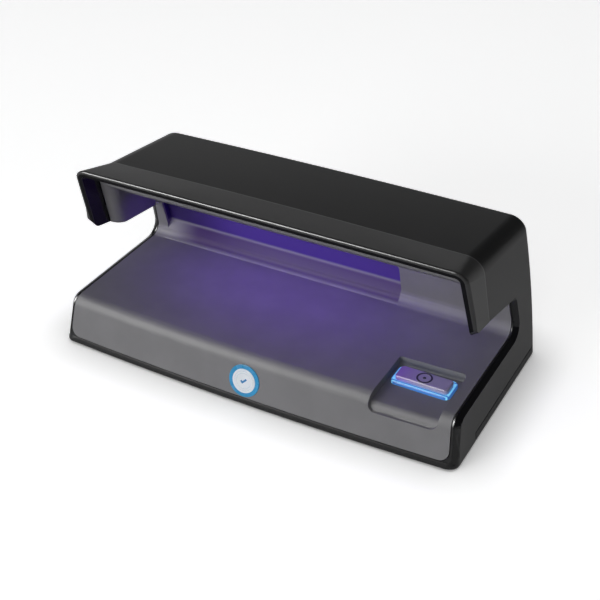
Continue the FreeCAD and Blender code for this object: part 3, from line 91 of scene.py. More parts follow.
class NodeSheet:
    """A new material's node tree, with short calls to add nodes and join them."""

    def __init__(self, name: str) -> None:
        """Starts an empty material.

        Args:
            name: The material's name.
        """
        self.material = bpy.data.materials.new(name)
        self.material.use_nodes = True
        self.tree = self.material.node_tree
        self.tree.nodes.clear()
        self.output = self.tree.nodes.new("ShaderNodeOutputMaterial")
        self.place = self.tree.nodes.new("ShaderNodeTexCoord").outputs["Object"]

    def add(self, kind: str, **settings: object) -> bpy.types.Node:
        """Adds a node.

        Args:
            kind: Blender's name of the node type, without "ShaderNode".
            **settings: Properties to set on the node.

        Returns:
            The new node.
        """
        node = self.tree.nodes.new("ShaderNode" + kind)
        for key, value in settings.items():
            setattr(node, key, value)
        return node

    def join(self, source: Socket, target: Socket) -> None:
        """Links an output to an input."""
        self.tree.links.new(source, target)

    def math(self, operation: str, *values: object) -> Socket:
        """Adds a Math node.

        Args:
            operation: The node's operation.
            *values: Numbers or output sockets, in the node's order.

        Returns:
            The result's socket.
        """
        node = self.add("Math", operation=operation)
        for socket, value in zip(node.inputs, values):
            if isinstance(value, (int, float)):
                socket.default_value = value
            else:
                self.join(value, socket)
        return node.outputs[0]

    def invert(self, value: Socket) -> Socket:
        """Takes a value from 1."""
        return self.math("SUBTRACT", 1.0, value)

    def axes(self) -> tuple[Socket, Socket, Socket]:
        """Splits the object coordinates.

        Returns:
            The sockets of x, y and z.
        """
        split = self.add("SeparateXYZ")
        self.join(self.place, split.inputs[0])
        return split.outputs[0], split.outputs[1], split.outputs[2]

    def noise(self, size: float, detail: float = 3.0, rough: float = 0.55) -> Socket:
        """Adds a noise pattern on object coordinates.

        Args:
            size: Feature size in metres.
            detail: Octaves.
            rough: How strong the finer octaves are.

        Returns:
            The pattern's value, about 0 to 1.
        """
        node = self.add("TexNoise")
        node.inputs["Scale"].default_value = 1.0 / size
        node.inputs["Detail"].default_value = detail
        node.inputs["Roughness"].default_value = rough
        self.join(self.place, node.inputs["Vector"])
        return node.outputs["Fac"]

    def band(self, value: Socket, low: float, high: float) -> Socket:
        """Rises smoothly from 0 at low to 1 at high.

        Args:
            value: The socket to read.
            low: Value that gives 0.
            high: Value that gives 1.

        Returns:
            The step's socket.
        """
        node = self.add("MapRange", interpolation_type="SMOOTHSTEP")
        self.join(value, node.inputs["Value"])
        node.inputs["From Min"].default_value = low
        node.inputs["From Max"].default_value = high
        return node.outputs[0]

    def blend(self, share: Socket, first: object, second: object) -> Socket:
        """Mixes two colours.

        Args:
            share: How much of the second colour shows.
            first: A colour or a socket.
            second: A colour or a socket.

        Returns:
            The mixed colour's socket.
        """
        node = self.add("Mix", data_type="RGBA")
        self.join(share, node.inputs[0])
        for socket, value in ((node.inputs[6], first), (node.inputs[7], second)):
            if isinstance(value, tuple):
                socket.default_value = (*value, 1.0)
            else:
                self.join(value, socket)
        return node.outputs[2]

    def surface(self, colour: Socket, rough: Socket, height: Socket, depth: float,
                **sockets: object) -> bpy.types.Node:
        """Adds the surface shader with its colour, roughness and bump.

        Args:
            colour: Base colour.
            rough: Roughness.
            height: Bump pattern.
            depth: Bump distance in metres.
            **sockets: Numbers and colours of other sockets, with underscores for spaces.

        Returns:
            The shader node.
        """
        shader = self.add("BsdfPrincipled")
        self.join(colour, shader.inputs["Base Color"])
        self.join(rough, shader.inputs["Roughness"])
        for key, value in sockets.items():
            shader.inputs[key.replace("_", " ")].default_value = value
        bump = self.add("Bump")
        bump.inputs["Strength"].default_value = 1.0
        bump.inputs["Distance"].default_value = depth
        self.join(height, bump.inputs["Height"])
        self.join(bump.outputs[0], shader.inputs["Normal"])
        self.join(shader.outputs[0], self.output.inputs["Surface"])
        return shader


@dataclass(frozen=True)
class LeaningPlane:
    """A plane through a line along x that leans forwards as it rises."""

    y: float
    z: float
    lean: float

    def behind(self, sheet: NodeSheet, y: Socket, z: Socket) -> Socket:
        """Measures how far a surface lies behind the plane.

        Args:
            sheet: The material's sheet.
            y: The surface's y.
            z: The surface's z.

        Returns:
            The distance along y, below 0 in front of the plane.
        """
        over = sheet.math("MULTIPLY_ADD", z, self.lean, sheet.math("SUBTRACT", y, self.y))
        return sheet.math("SUBTRACT", over, self.z * self.lean)

    def holds(self, point: Vector) -> bool:
        """Tells whether a point lies on the plane."""
        return abs(point.y - self.y - self.lean * (self.z - point.z)) < ON_PLANE


@dataclass(frozen=True)
class Finish:
    """A named material for one piece or more."""

    name: str

    def make(self) -> bpy.types.Material:
        """Builds the material; each finish has its own way."""
        raise NotImplementedError


@dataclass(frozen=True)
class MouldedPlastic(Finish):
    """Injection-moulded plastic with a spark-eroded grain."""

    colour: Colour
    gloss: float
    grain: Grain = Grain.FINE
    mottle: float = 0.12
    specular: float = 0.5

    def make(self) -> bpy.types.Material:
        """Builds the material.

        Returns:
            The material.
        """
        sheet = NodeSheet(self.name)
        size, depth = self.grain.value
        cloud = sheet.noise(0.018, 2.0)
        fine = sheet.noise(size, 2.0, 0.6)
        lighter = scaled(self.colour, 1.0 + self.mottle)
        darker = scaled(self.colour, 1.0 - self.mottle)
        base = sheet.blend(sheet.band(cloud, 0.3, 0.7), darker, lighter)
        speckle = sheet.math("MULTIPLY", sheet.band(fine, 0.45, 0.8), 0.35)
        rough = sheet.math("MULTIPLY_ADD", sheet.band(fine, 0.3, 0.7), 0.08, 1.0 - self.gloss)
        colour = sheet.blend(speckle, base, lighter)
        sheet.surface(colour, rough, fine, depth, Specular_IOR_Level=self.specular)
        return sheet.material


@dataclass(frozen=True)
class HousingPlastic(Finish):
    """Black housing plastic: satin, lighter on the front band as a painted highlight, with a
    painted highlight along the crease, polished at rim and mouth.
    """

    satin: Colour
    # The front band's colour, lighter than satin as a painted highlight.
    band: Colour
    polished: Colour
    rim_x: float
    draft: float
    crease: LeaningPlane
    lip: LeaningPlane
    canopy_z: float = 0.051
    column_z: tuple[float, float] = (0.0236, 0.026)
    # Painted highlight along the crease between the top and the front band.
    crease_highlight: Colour = (0.13, 0.13, 0.13)
    speck_colour: Colour = (0.3, 0.3, 0.3)
    bump: float = 0.000010
    specular: float = 0.42

    def rim(self, sheet: NodeSheet, facing: Sequence[Socket]) -> Socket:
        """Marks the polished edge of the column and of the base, beside the tray.

        Args:
            sheet: The material's sheet.
            facing: The normal's x, y and z.

        Returns:
            The mask.
        """
        x, _, z = sheet.axes()
        width = sheet.math("MULTIPLY_ADD", z, self.draft, sheet.math("ABSOLUTE", x))
        near_edge = sheet.band(width, self.rim_x - 0.0003, self.rim_x + 0.0003)
        low = sheet.invert(sheet.band(z, self.canopy_z - 0.0005, self.canopy_z + 0.0005))
        not_side = sheet.invert(sheet.band(sheet.math("ABSOLUTE", facing[0]), 0.93, 0.97))
        upward = sheet.band(facing[2], 0.2, 0.45)
        column = sheet.band(z, *self.column_z)
        edge = sheet.math("MULTIPLY", near_edge, sheet.math("MULTIPLY", low, not_side))
        return sheet.math("MULTIPLY", edge, sheet.math("MAXIMUM", upward, column))

    def mouth(self, sheet: NodeSheet, facing: Sequence[Socket]) -> Socket:
        """Marks the polished inner faces of the canopy.

        Args:
            sheet: The material's sheet.
            facing: The normal's x, y and z.

        Returns:
            The mask.
        """
        x, y, z = sheet.axes()
        inward = sheet.math("MULTIPLY", sheet.math("MULTIPLY", x, facing[0]), -1.0)
        downward = sheet.invert(sheet.band(facing[2], -0.6, -0.4))
        inside = sheet.math("MAXIMUM", sheet.band(inward, 0.001, 0.01), downward)
        behind_lip = sheet.band(self.lip.behind(sheet, y, z), 0.0002, 0.0008)
        high = sheet.band(z, self.canopy_z - 0.001, self.canopy_z + 0.001)
        return sheet.math("MULTIPLY", sheet.math("MULTIPLY", inside, behind_lip), high)

    def zones(self, sheet: NodeSheet) -> tuple[Socket, Socket, Socket]:
        """Marks the front band and the line of the crease, which get painted highlights, and the
        polished places.

        Args:
            sheet: The material's sheet.

        Returns:
            Masks of the band's painted highlight, of the polished places and of the crease's
            painted highlight.
        """
        _, y, z = sheet.axes()
        facing = sheet.add("SeparateXYZ")
        sheet.join(sheet.add("NewGeometry").outputs["Normal"], facing.inputs[0])
        rim, mouth = self.rim(sheet, facing.outputs), self.mouth(sheet, facing.outputs)
        high = sheet.band(z, self.canopy_z - 0.001, self.canopy_z + 0.001)
        behind_crease = self.crease.behind(sheet, y, z)
        ahead = sheet.invert(sheet.band(behind_crease, -0.0004, 0.0004))
        # Mask of the crease's painted highlight.
        line = sheet.invert(sheet.band(sheet.math("ABSOLUTE", behind_crease), 0.0001, 0.0005))
        front, crease = (sheet.math("MULTIPLY", mask, high) for mask in (ahead, line))
        return front, sheet.math("MAXIMUM", rim, mouth), crease

    def make(self) -> bpy.types.Material:
        """Builds the material.

        Returns:
            The material.
        """
        sheet = NodeSheet(self.name)
        front, shiny, line = self.zones(sheet)
        fine = sheet.noise(Grain.FINE.value[0], 2.0, 0.6)
        cloud = sheet.noise(0.022, 2.0)
        shade = sheet.math("MULTIPLY", sheet.band(cloud, 0.3, 0.7), 0.12)
        speckle = sheet.math("MULTIPLY", sheet.band(fine, 0.5, 0.8), 0.06)
        # Painted highlight: the front band is coloured lighter than the satin top, for how it faces
        # the light.
        colour = sheet.blend(front, self.satin, self.band)
        colour = sheet.blend(shade, colour, BLACK)
        colour = sheet.blend(speckle, colour, self.speck_colour)
        # Painted highlight along the crease line.
        colour = sheet.blend(line, colour, self.crease_highlight)
        colour = sheet.blend(shiny, colour, self.polished)
        satin_rough = sheet.math("MULTIPLY_ADD", fine, 0.08, 0.30)
        rough = sheet.math("MULTIPLY_ADD", shiny, -0.20, satin_rough)
        height = sheet.math("MULTIPLY", fine, sheet.invert(shiny))
        sheet.surface(colour, rough, height, self.bump, Specular_IOR_Level=self.specular)
        return sheet.material


@dataclass(frozen=True)
class TrayPlastic(Finish):
    """Grey tray plastic with the lamp's violet glow painted on the back of the pocket in its rear
    wall, and painted violet glow and shade on the sloped foot below the pocket.
    """

    colour: Colour
    # Painted violet glow of the lamp on the back of the pocket.
    pocket_uv_glow: Colour
    # Darker violet for the sloped foot below the pocket: painted violet glow and painted shade.
    ramp_glow_shade: Colour
    wall: LeaningPlane
    ramp_top: float
    pocket_x: tuple[float, float]
    specular: float = 0.2

    def pocket(self, sheet: NodeSheet) -> Socket:
        """Marks the back of the pocket in the rear wall, where the violet glow is painted and the
        finish is smoother.

        Args:
            sheet: The material's sheet.

        Returns:
            The mask.
        """
        _, y, z = sheet.axes()
        sunk = sheet.band(self.wall.behind(sheet, y, z), 0.0012, 0.0016)
        above = sheet.band(z, self.ramp_top - 0.0005, self.ramp_top + 0.0012)
        return sheet.math("MULTIPLY", sunk, above)

    def glow_shade_slope(self, sheet: NodeSheet) -> Socket:
        """Marks the sloped foot that leads down from the pocket, which gets a painted violet glow
        and painted shade.

        Args:
            sheet: The material's sheet.

        Returns:
            The mask.
        """
        x, y, z = sheet.axes()
        first, last = self.pocket_x
        near_wall = sheet.band(self.wall.behind(sheet, y, z), -0.0050, -0.003)
        below = sheet.invert(sheet.band(z, self.ramp_top - 0.0012, self.ramp_top))
        after_start = sheet.band(x, first, first + 0.02)
        before_end = sheet.invert(sheet.band(x, last - 0.0008, last))
        along = sheet.math("MULTIPLY", before_end, after_start)
        return sheet.math("MULTIPLY", sheet.math("MULTIPLY", near_wall, below), along)

    def make(self) -> bpy.types.Material:
        """Builds the material.

        Returns:
            The material.
        """
        sheet = NodeSheet(self.name)
        pocket = self.pocket(sheet)
        cloud = sheet.noise(0.018, 2.0)
        fine = sheet.noise(Grain.SOFT.value[0], 2.0, 0.6)
        lighter = scaled(self.colour, 1.05)
        base = sheet.blend(sheet.band(cloud, 0.3, 0.7), scaled(self.colour, 0.95), lighter)
        speckle = sheet.math("MULTIPLY", sheet.band(fine, 0.45, 0.8), 0.3)
        # The sloped foot under the pocket gets a darker violet: painted violet glow and painted
        # shade.
        colour = sheet.blend(self.glow_shade_slope(sheet), sheet.blend(speckle, base, lighter), self.ramp_glow_shade)
        # Painted violet glow of the lamp on the pocket's back, dimmed to 0.4 towards the pocket's
        # left end.
        first = self.pocket_x[0]
        along = sheet.band(sheet.axes()[0], first + 0.004, first + 0.045)
        pocket_uv_glow = sheet.blend(along, scaled(self.pocket_uv_glow, 0.4), self.pocket_uv_glow)
        colour = sheet.blend(pocket, colour, pocket_uv_glow)
        rough = sheet.math("MULTIPLY_ADD", pocket, -0.2, sheet.math("MULTIPLY_ADD", fine, 0.1, 0.5))
        sheet.surface(colour, rough, fine, Grain.SOFT.value[1], Specular_IOR_Level=self.specular)
        return sheet.material


@dataclass(frozen=True)
class Rubber(Finish):
    """Soft moulded rubber, or the flexible sleeve of a wire."""

    colour: Colour
    rough: float = 0.7

    def make(self) -> bpy.types.Material:
        """Builds the material.

        Returns:
            The material.
        """
        sheet = NodeSheet(self.name)
        fine = sheet.noise(0.0004, 3.0)
        colour = sheet.blend(sheet.band(fine, 0.3, 0.8), self.colour, scaled(self.colour, 1.5))
        sheet.surface(colour, sheet.math("MULTIPLY_ADD", fine, 0.15, self.rough), fine, 0.00003)
        return sheet.material


@dataclass(frozen=True)
class Metal(Finish):
    """Turned or drawn metal with fine lines and a little staining."""

    colour: Colour
    rough: float
    line: float = 0.0002

    def make(self) -> bpy.types.Material:
        """Builds the material.

        Returns:
            The material.
        """
        sheet = NodeSheet(self.name)
        stretch = sheet.add("Mapping")
        stretch.inputs["Scale"].default_value = (1.0, 1.0, 9.0)
        sheet.join(sheet.place, stretch.inputs["Vector"])
        lines = sheet.add("TexNoise")
        lines.inputs["Scale"].default_value = 1.0 / (self.line * 4.0)
        sheet.join(stretch.outputs[0], lines.inputs["Vector"])
        stain = sheet.noise(0.004, 3.0)
        colour = sheet.blend(sheet.band(stain, 0.35, 0.75), self.colour, scaled(self.colour, 0.82))
        rough = sheet.math("MULTIPLY_ADD", lines.outputs["Fac"], 0.18, self.rough)
        sheet.surface(colour, rough, lines.outputs["Fac"], 0.000006, Metallic=1.0)
        return sheet.material


@dataclass(frozen=True)
class ClearPart(Finish):
    """Clear or frosted polymer that lets light through."""

    colour: Colour
    rough: float
    transmission: float
    glow: Colour = BLACK
    strength: float = 0.0

    def make(self) -> bpy.types.Material:
        """Builds the material.

        Returns:
            The material.
        """
        sheet = NodeSheet(self.name)
        swirl = sheet.noise(0.0015, 2.0)
        colour = sheet.blend(sheet.band(swirl, 0.3, 0.7), self.colour, scaled(self.colour, 0.9))
        rough = sheet.math("MULTIPLY_ADD", swirl, 0.06, self.rough)
        sheet.surface(colour, rough, swirl, 0.000004, Transmission_Weight=self.transmission,
                      Emission_Color=(*self.glow, 1.0), Emission_Strength=self.strength)
        return sheet.material


@dataclass(frozen=True)
class CapPaintedGlow(Finish):
    """Button plastic with the lamp's violet glow painted on it, strongest at one end and fading to
    its own greyer violet at the other.
    """

    # The first colour is the cap under the painted violet glow of the lamp, the second its own
    # colour, and the ends are where the painted glow fades along x.
    violet: Colour
    grey: Colour
    ends: tuple[float, float]

    def make(self) -> bpy.types.Material:
        """Builds the material.

        Returns:
            The material.
        """
        sheet = NodeSheet(self.name)
        x, _, _ = sheet.axes()
        fine = sheet.noise(0.0004, 2.0)
        # Painted violet glow of the lamp, fading along x into the cap's own grey-violet.
        colour = sheet.blend(sheet.band(x, *self.ends), self.violet, self.grey)
        colour = sheet.blend(sheet.math("MULTIPLY", fine, 0.08), colour, BLACK)
        sheet.surface(colour, sheet.math("MULTIPLY_ADD", fine, 0.1, 0.3), fine, 0.000008)
        return sheet.material


@dataclass(frozen=True)
class LitRing(Finish):
    """Frosted light guide: bright along its outer and inner edges, deeper blue between them."""

    deep: Colour
    bright: Colour
    centre: tuple[float, float]
    half: tuple[float, float]
    strength: float

    def make(self) -> bpy.types.Material:
        """Builds the material.

        Returns:
            The material.
        """
        sheet = NodeSheet(self.name)
        beyond = []
        for place, middle, half in zip(sheet.axes(), self.centre, self.half):
            offset = sheet.math("ABSOLUTE", sheet.math("SUBTRACT", place, middle))
            beyond.append(sheet.math("SUBTRACT", offset, half))
        edge = sheet.math("MAXIMUM", *beyond)
        before_rim = sheet.invert(sheet.band(edge, -0.0005, -0.0002))
        outer = sheet.math("MULTIPLY", sheet.band(edge, -0.0010, -0.0007), before_rim)
        inner = sheet.invert(sheet.band(edge, -0.0018, -0.0014))
        lines = sheet.math("MAXIMUM", outer, inner)
        swirl = sheet.noise(0.0012, 2.0)
        lines = sheet.math("MULTIPLY", lines, sheet.band(swirl, 0.1, 0.5))
        colour = sheet.blend(lines, self.deep, self.bright)
        rough = sheet.math("MULTIPLY_ADD", swirl, 0.08, 0.28)
        shader = sheet.surface(colour, rough, swirl, 0.000005, Emission_Strength=self.strength)
        sheet.join(colour, shader.inputs["Emission Color"])
        return sheet.material


@dataclass(frozen=True)
class CircuitBoard(Finish):
    """Solder-masked board with tracks and pads."""

    mask: Colour
    track: Colour

    def make(self) -> bpy.types.Material:
        """Builds the material.

        Returns:
            The material.
        """
        sheet = NodeSheet(self.name)
        bricks = sheet.add("TexBrick", offset=0.5)
        bricks.inputs["Scale"].default_value = 260.0
        bricks.inputs["Mortar Size"].default_value = 0.018
        bricks.inputs["Color1"].default_value = (0.0, 0.0, 0.0, 1.0)
        bricks.inputs["Color2"].default_value = (0.25, 0.25, 0.25, 1.0)
        bricks.inputs["Mortar"].default_value = (1.0, 1.0, 1.0, 1.0)
        sheet.join(sheet.place, bricks.inputs["Vector"])
        weave = sheet.noise(0.0006, 2.0)
        base = sheet.blend(sheet.band(weave, 0.3, 0.7), self.mask, scaled(self.mask, 1.15))
        lines = sheet.add("RGBToBW")
        sheet.join(bricks.outputs["Color"], lines.inputs[0])
        colour = sheet.blend(sheet.math("MULTIPLY", lines.outputs[0], 0.6), base, self.track)
        rough = sheet.math("MULTIPLY_ADD", weave, 0.1, 0.3)
        sheet.surface(colour, rough, lines.outputs[0], 0.00003)
        return sheet.material


def carry(node: str, finish: Finish) -> None:
    """Gives a CAD node that stays as it is its material.

    Args:
        node: The node's name.
        finish: The finish that makes the material.
    """
    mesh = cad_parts[node].data
    mesh.materials.clear()
    mesh.materials.append(finish.make())
    LOG.info("carried %s as %s", node, finish.name)


def only(piece: bpy.types.Object) -> None:
    """Makes a piece the only selected object and the active one.

    Args:
        piece: The piece.
    """
    bpy.ops.object.select_all(action="DESELECT")
    piece.select_set(True)
    bpy.context.view_layer.objects.active = piece


def settle(piece: bpy.types.Object, finish: Finish, body: Body, *replaced: str) -> None:
    """Dresses a finished piece and ties it to its body.

    Args:
        piece: The piece, shaped, with its place in its mesh.
        finish: The finish that makes its material.
        body: The body that it rides on.
        *replaced: CAD nodes that it stands for.
    """
    piece.data.materials.clear()
    piece.data.materials.append(finish.make())
    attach(piece, body.value)
    if replaced:
        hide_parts(*replaced)
    LOG.info("made %s: %d faces, %s", piece.name, len(piece.data.polygons), finish.name)


def merged_copy(node: str, name: str) -> bpy.types.Object:
    """Copies a CAD node and joins its loose triangles into whole faces.

    Args:
        node: The node's name.
        name: The new piece's name.

    Returns:
        The copy, selected and active.
    """
    piece = bpy.data.objects.new(name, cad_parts[node].data.copy())
    bpy.context.collection.objects.link(piece)
    only(piece)
    bpy.ops.object.mode_set(mode="EDIT")
    bpy.ops.mesh.select_all(action="SELECT")
    bpy.ops.mesh.remove_doubles(threshold=1e-6)
    bpy.ops.mesh.dissolve_limited(angle_limit=FLAT_ANGLE)
    bpy.ops.object.mode_set(mode="OBJECT")
    return piece


def split_large_faces(piece: bpy.types.Object) -> bpy.types.Object:
    """Splits faces of more than four corners, so that none surrounds an opening.

    Args:
        piece: The piece, with whole faces.

    Returns:
        The same piece.
    """
    only(piece)
    bpy.ops.object.mode_set(mode="EDIT")
    bpy.ops.mesh.select_mode(type="FACE")
    bpy.ops.mesh.select_all(action="DESELECT")
    bpy.ops.mesh.select_face_by_sides(number=4, type="GREATER", extend=False)
    bpy.ops.mesh.quads_convert_to_tris(quad_method="BEAUTY", ngon_method="BEAUTY")
    bpy.ops.mesh.select_mode(type="VERT")
    bpy.ops.object.mode_set(mode="OBJECT")
    return piece


def ease(piece: bpy.types.Object, radius: float) -> bpy.types.Object:
    """Eases a piece's sharp edges, as a mould does, and smooths the rest.

    Args:
        piece: The piece, with whole faces.
        radius: Width of the eased edge in metres.

    Returns:
        The same piece.
    """
    only(piece)
    bevel = piece.modifiers.new("eased", "BEVEL")
    bevel.width = radius
    bevel.segments = 2
    bevel.limit_method = "ANGLE"
    bevel.angle_limit = EASED_ANGLE
    bevel.use_clamp_overlap = True
    bevel.miter_outer = "MITER_ARC"
    bpy.ops.object.modifier_apply(modifier="eased")
    bpy.ops.object.shade_smooth_by_angle(angle=SMOOTH_ANGLE)
    return piece


def flatten_shading(piece: bpy.types.Object) -> bpy.types.Object:
    """Makes the large faces shade flat, with all of the turn left to the eased edges.

    Args:
        piece: The piece, with its edges eased.

    Returns:
        The same piece.
    """
    only(piece)
    weighted = piece.modifiers.new("weighted", "WEIGHTED_NORMAL")
    weighted.mode = "FACE_AREA"
    weighted.weight = 100
    weighted.keep_sharp = True
    bpy.ops.object.modifier_apply(modifier="weighted")
    return piece


def eased_copy(node: str, name: str, radius: float) -> bpy.types.Object:
    """Copies a CAD node and eases its sharp edges.

    Args:
        node: The node's name.
        name: The new piece's name.
        radius: Width of the eased edge in metres.

    Returns:
        The copy.
    """
    return flatten_shading(ease(merged_copy(node, name), radius))


def tilt_and_place(tilt: float, place: Sequence[float]) -> None:
    """Leans the mesh being edited back about x and moves it to its place.

    Args:
        tilt: How far it turns from lying flat towards standing up, in radians.
        place: Where its own origin goes, in metres.
    """
    bpy.ops.mesh.select_all(action="SELECT")
    bpy.ops.transform.rotate(value=-tilt, orient_axis="X", center_override=(0.0, 0.0, 0.0))
    bpy.ops.transform.translate(value=place)
    bpy.ops.object.mode_set(mode="OBJECT")


@dataclass(frozen=True)
class Disc:
    """A thin round inlay, plain, grooved or with a hole, lying on a tilted face."""

    name: str
    centre: tuple[float, float, float]
    tilt: float
    outer: float
    inner: float
    thick: float
    grooves: int = 0
    edge: float = 0.00012

    def build(self) -> bpy.types.Object:
        """Builds the inlay.

        Returns:
            The finished mesh, with its place in its vertices.
        """
        bpy.ops.object.select_all(action="DESELECT")
        bpy.ops.mesh.primitive_circle_add(vertices=64, radius=self.outer, fill_type="NGON")
        piece = bpy.context.object
        piece.name = self.name
        bpy.ops.object.mode_set(mode="EDIT")
        bpy.ops.mesh.select_all(action="SELECT")
        bpy.ops.mesh.inset(thickness=self.edge)
        bpy.ops.transform.translate(value=(0.0, 0.0, self.thick))
        if self.grooves:
            self.cut_grooves()
        elif self.inner > 0.0:
            self.cut_hole()
        tilt_and_place(self.tilt, self.centre)
        bpy.ops.object.shade_smooth_by_angle(angle=math.radians(30.0))
        return piece

    def cut_grooves(self) -> None:
        """Sinks round grooves into the selected top face, from its rim to the inner radius."""
        step = (self.outer - self.inner) / (self.grooves + 1)
        depth = self.thick * 0.8
        for _ in range(self.grooves):
            bpy.ops.mesh.inset(thickness=step * 0.7)
            for move in (-depth, depth):
                bpy.ops.mesh.inset(thickness=step * 0.1)
                bpy.ops.transform.translate(value=(0.0, 0.0, move))

    def cut_hole(self) -> None:
        """Opens the selected top face at the inner radius."""
        bpy.ops.mesh.inset(thickness=self.outer - self.inner - 2.0 * self.edge)
        bpy.ops.mesh.inset(thickness=self.edge)
        bpy.ops.transform.translate(value=(0.0, 0.0, -self.thick))
        bpy.ops.mesh.delete(type="FACE")


@dataclass(frozen=True)
class Tick:
    """A plain tick on a tilted face: a square elbow with an arm drawn out of two of its sides."""

    name: str
    centre: tuple[float, float, float]
    tilt: float
    arms: tuple[float, float]
    width: float
    thick: float

    def draw_arm(self, piece: bpy.types.Object, side: tuple[float, float], length: float) -> None:
        """Draws an arm out of one side of the elbow.

        Args:
            piece: The mark, in edit mode.
            side: The direction of that side, along x or y.
            length: How far the arm goes beyond the elbow.
        """
        bpy.ops.mesh.select_all(action="DESELECT")
        bpy.ops.object.mode_set(mode="OBJECT")
        for edge in piece.data.edges:
            middle = sum((piece.data.vertices[index].co for index in edge.vertices), Vector()) / 2.0
            ahead = middle.x * side[0] + middle.y * side[1]
            aside = abs(middle.x * side[1] - middle.y * side[0])
            edge.select = ahead > self.width * 0.45 and aside < self.width * 0.45
        bpy.ops.object.mode_set(mode="EDIT")
        move = (side[0] * length, side[1] * length, 0.0)
        bpy.ops.mesh.extrude_region_move(TRANSFORM_OT_translate={"value": move})

    def build(self) -> bpy.types.Object:
        """Builds the mark.

        Returns:
            The finished mesh, with its place in its vertices.
        """
        bpy.ops.object.select_all(action="DESELECT")
        bpy.ops.mesh.primitive_plane_add(size=self.width)
        piece = bpy.context.object
        piece.name = self.name
        bpy.ops.object.mode_set(mode="EDIT")
        bpy.ops.mesh.select_mode(type="EDGE")
        short, long = (arm - self.width for arm in self.arms)
        self.draw_arm(piece, (1.0, 0.0), long)
        self.draw_arm(piece, (0.0, 1.0), short)
        bpy.ops.mesh.select_mode(type="VERT")
        bpy.ops.mesh.select_all(action="SELECT")
        bpy.ops.transform.rotate(value=-math.radians(45.0), orient_axis="Z",
                                 center_override=(0.0, 0.0, 0.0))
        across = (short - long) / 2.0 * math.sqrt(0.5)
        down = -long / 2.0 * math.sqrt(0.5)
        bpy.ops.transform.translate(value=(across, down, 0.0))
        bpy.ops.mesh.extrude_region_move(TRANSFORM_OT_translate={"value": (0.0, 0.0, self.thick)})
        bpy.ops.mesh.select_all(action="SELECT")
        bpy.ops.mesh.normals_make_consistent(inside=False)
        tilt_and_place(self.tilt, self.centre)
        bevel = piece.modifiers.new("eased", "BEVEL")
        bevel.width = min(self.width / 2.0, self.thick) * 0.4
        bpy.ops.object.modifier_apply(modifier="eased")
        return piece


@dataclass(frozen=True)
class Hood:
    """Black housing with its base cover, feet and screws."""

    shell_ease: float = 0.0006
    cover_ease: float = 0.0004
    rim_x: float = 0.1006
    draft: float = 0.095
    crease: LeaningPlane = LeaningPlane(-0.0129, 0.0844, 0.164)
    lip: LeaningPlane = LeaningPlane(-0.0338, 0.0889, 0.285)
    lip_round: float = 0.0017
    lip_half: tuple[float, float] = (0.1045, 0.091)
    lip_corner: tuple[float, float] = (0.006, 0.0832)
    canopy_z: float = 0.0475
    satin: Colour = (0.008, 0.008, 0.0083)
    # Front band colour, lighter than satin as a painted highlight.
    band: Colour = (0.028, 0.028, 0.0283)
    polished: Colour = (0.003, 0.003, 0.0042)

    def at_rim(self, point: Vector) -> bool:
        """Tells whether a point of the mouth's plane lies on its outer outline.

        Args:
            point: The point.

        Returns:
            True on the outline or within a quarter of its corner's radius.
        """
        radius, centre_z = self.lip_corner
        beyond_x = abs(point.x) - (self.lip_half[0] - self.lip_half[1] * point.z - radius)
        return math.hypot(max(beyond_x, 0.0), max(point.z - centre_z, 0.0)) > 0.75 * radius

    def round_lip(self, shell: bpy.types.Object) -> None:
        """Rounds the outer edge of the canopy's mouth over more than the other edges.

        Args:
            shell: The housing, with whole faces.
        """
        only(shell)
        bpy.ops.object.mode_set(mode="EDIT")
        bpy.ops.mesh.select_mode(type="EDGE")
        bpy.ops.mesh.select_all(action="DESELECT")
        bpy.ops.object.mode_set(mode="OBJECT")
        outer = [self.lip.holds(vertex.co) and self.at_rim(vertex.co)
                 for vertex in shell.data.vertices]
        for edge in shell.data.edges:
            edge.select = outer[edge.vertices[0]] and outer[edge.vertices[1]]
        bpy.ops.object.mode_set(mode="EDIT")
        bpy.ops.mesh.bevel(offset=self.lip_round, segments=5, profile=0.5, affect="EDGES",
                           clamp_overlap=False)
        bpy.ops.mesh.select_mode(type="VERT")
        bpy.ops.object.mode_set(mode="OBJECT")

    def darken_lip(self, shell: bpy.types.Object) -> None:
        """Gives the narrow front face of the canopy's mouth its own darker black with little shine:
        a painted dark reflection.

        Args:
            shell: The housing, dressed.
        """
        # Painted dark reflection: very dark colour and almost no specular on the lip's front face.
        painted_dark = MouldedPlastic("lip_painted_dark", (0.0035, 0.0035, 0.0045), 0.45, specular=0.07)
        shell.data.materials.append(painted_dark.make())
        on_face = [vertex.co.z > self.canopy_z and self.lip.holds(vertex.co)
                   for vertex in shell.data.vertices]
        for polygon in shell.data.polygons:
            if all(on_face[index] for index in polygon.vertices):
                polygon.material_index = 1

    def sharpen_crease(self, shell: bpy.types.Object) -> None:
        """Keeps the line between the top and the front band crisp.

        Args:
            shell: The housing, with its edges eased.
        """
        on_line = [vertex.co.z > self.canopy_z and self.crease.holds(vertex.co)
                   for vertex in shell.data.vertices]
        for edge in shell.data.edges:
            if on_line[edge.vertices[0]] and on_line[edge.vertices[1]]:
                edge.use_edge_sharp = True

    def build(self) -> None:
        """Dresses the housing."""
        black = HousingPlastic("housing_black", self.satin, self.band, self.polished, self.rim_x,
                               self.draft, self.crease, self.lip)
        shell = merged_copy("outer_shell", "hood_shell")
        self.round_lip(shell)
        self.sharpen_crease(ease(shell, self.shell_ease))
        settle(flatten_shading(shell), black, Body.HOUSING, "outer_shell")
        self.darken_lip(shell)
        cover = MouldedPlastic("cover_black", (0.014, 0.014, 0.0145), 0.55)
        bottom = eased_copy("base_cover", "bottom_cover", self.cover_ease)
        settle(bottom, cover, Body.HOUSING, "base_cover")
        carry("rubber_feet", Rubber("foot_rubber", (0.02, 0.02, 0.02)))
        carry("base_screws", Metal("base_screw_steel", (0.10, 0.10, 0.105), 0.34))


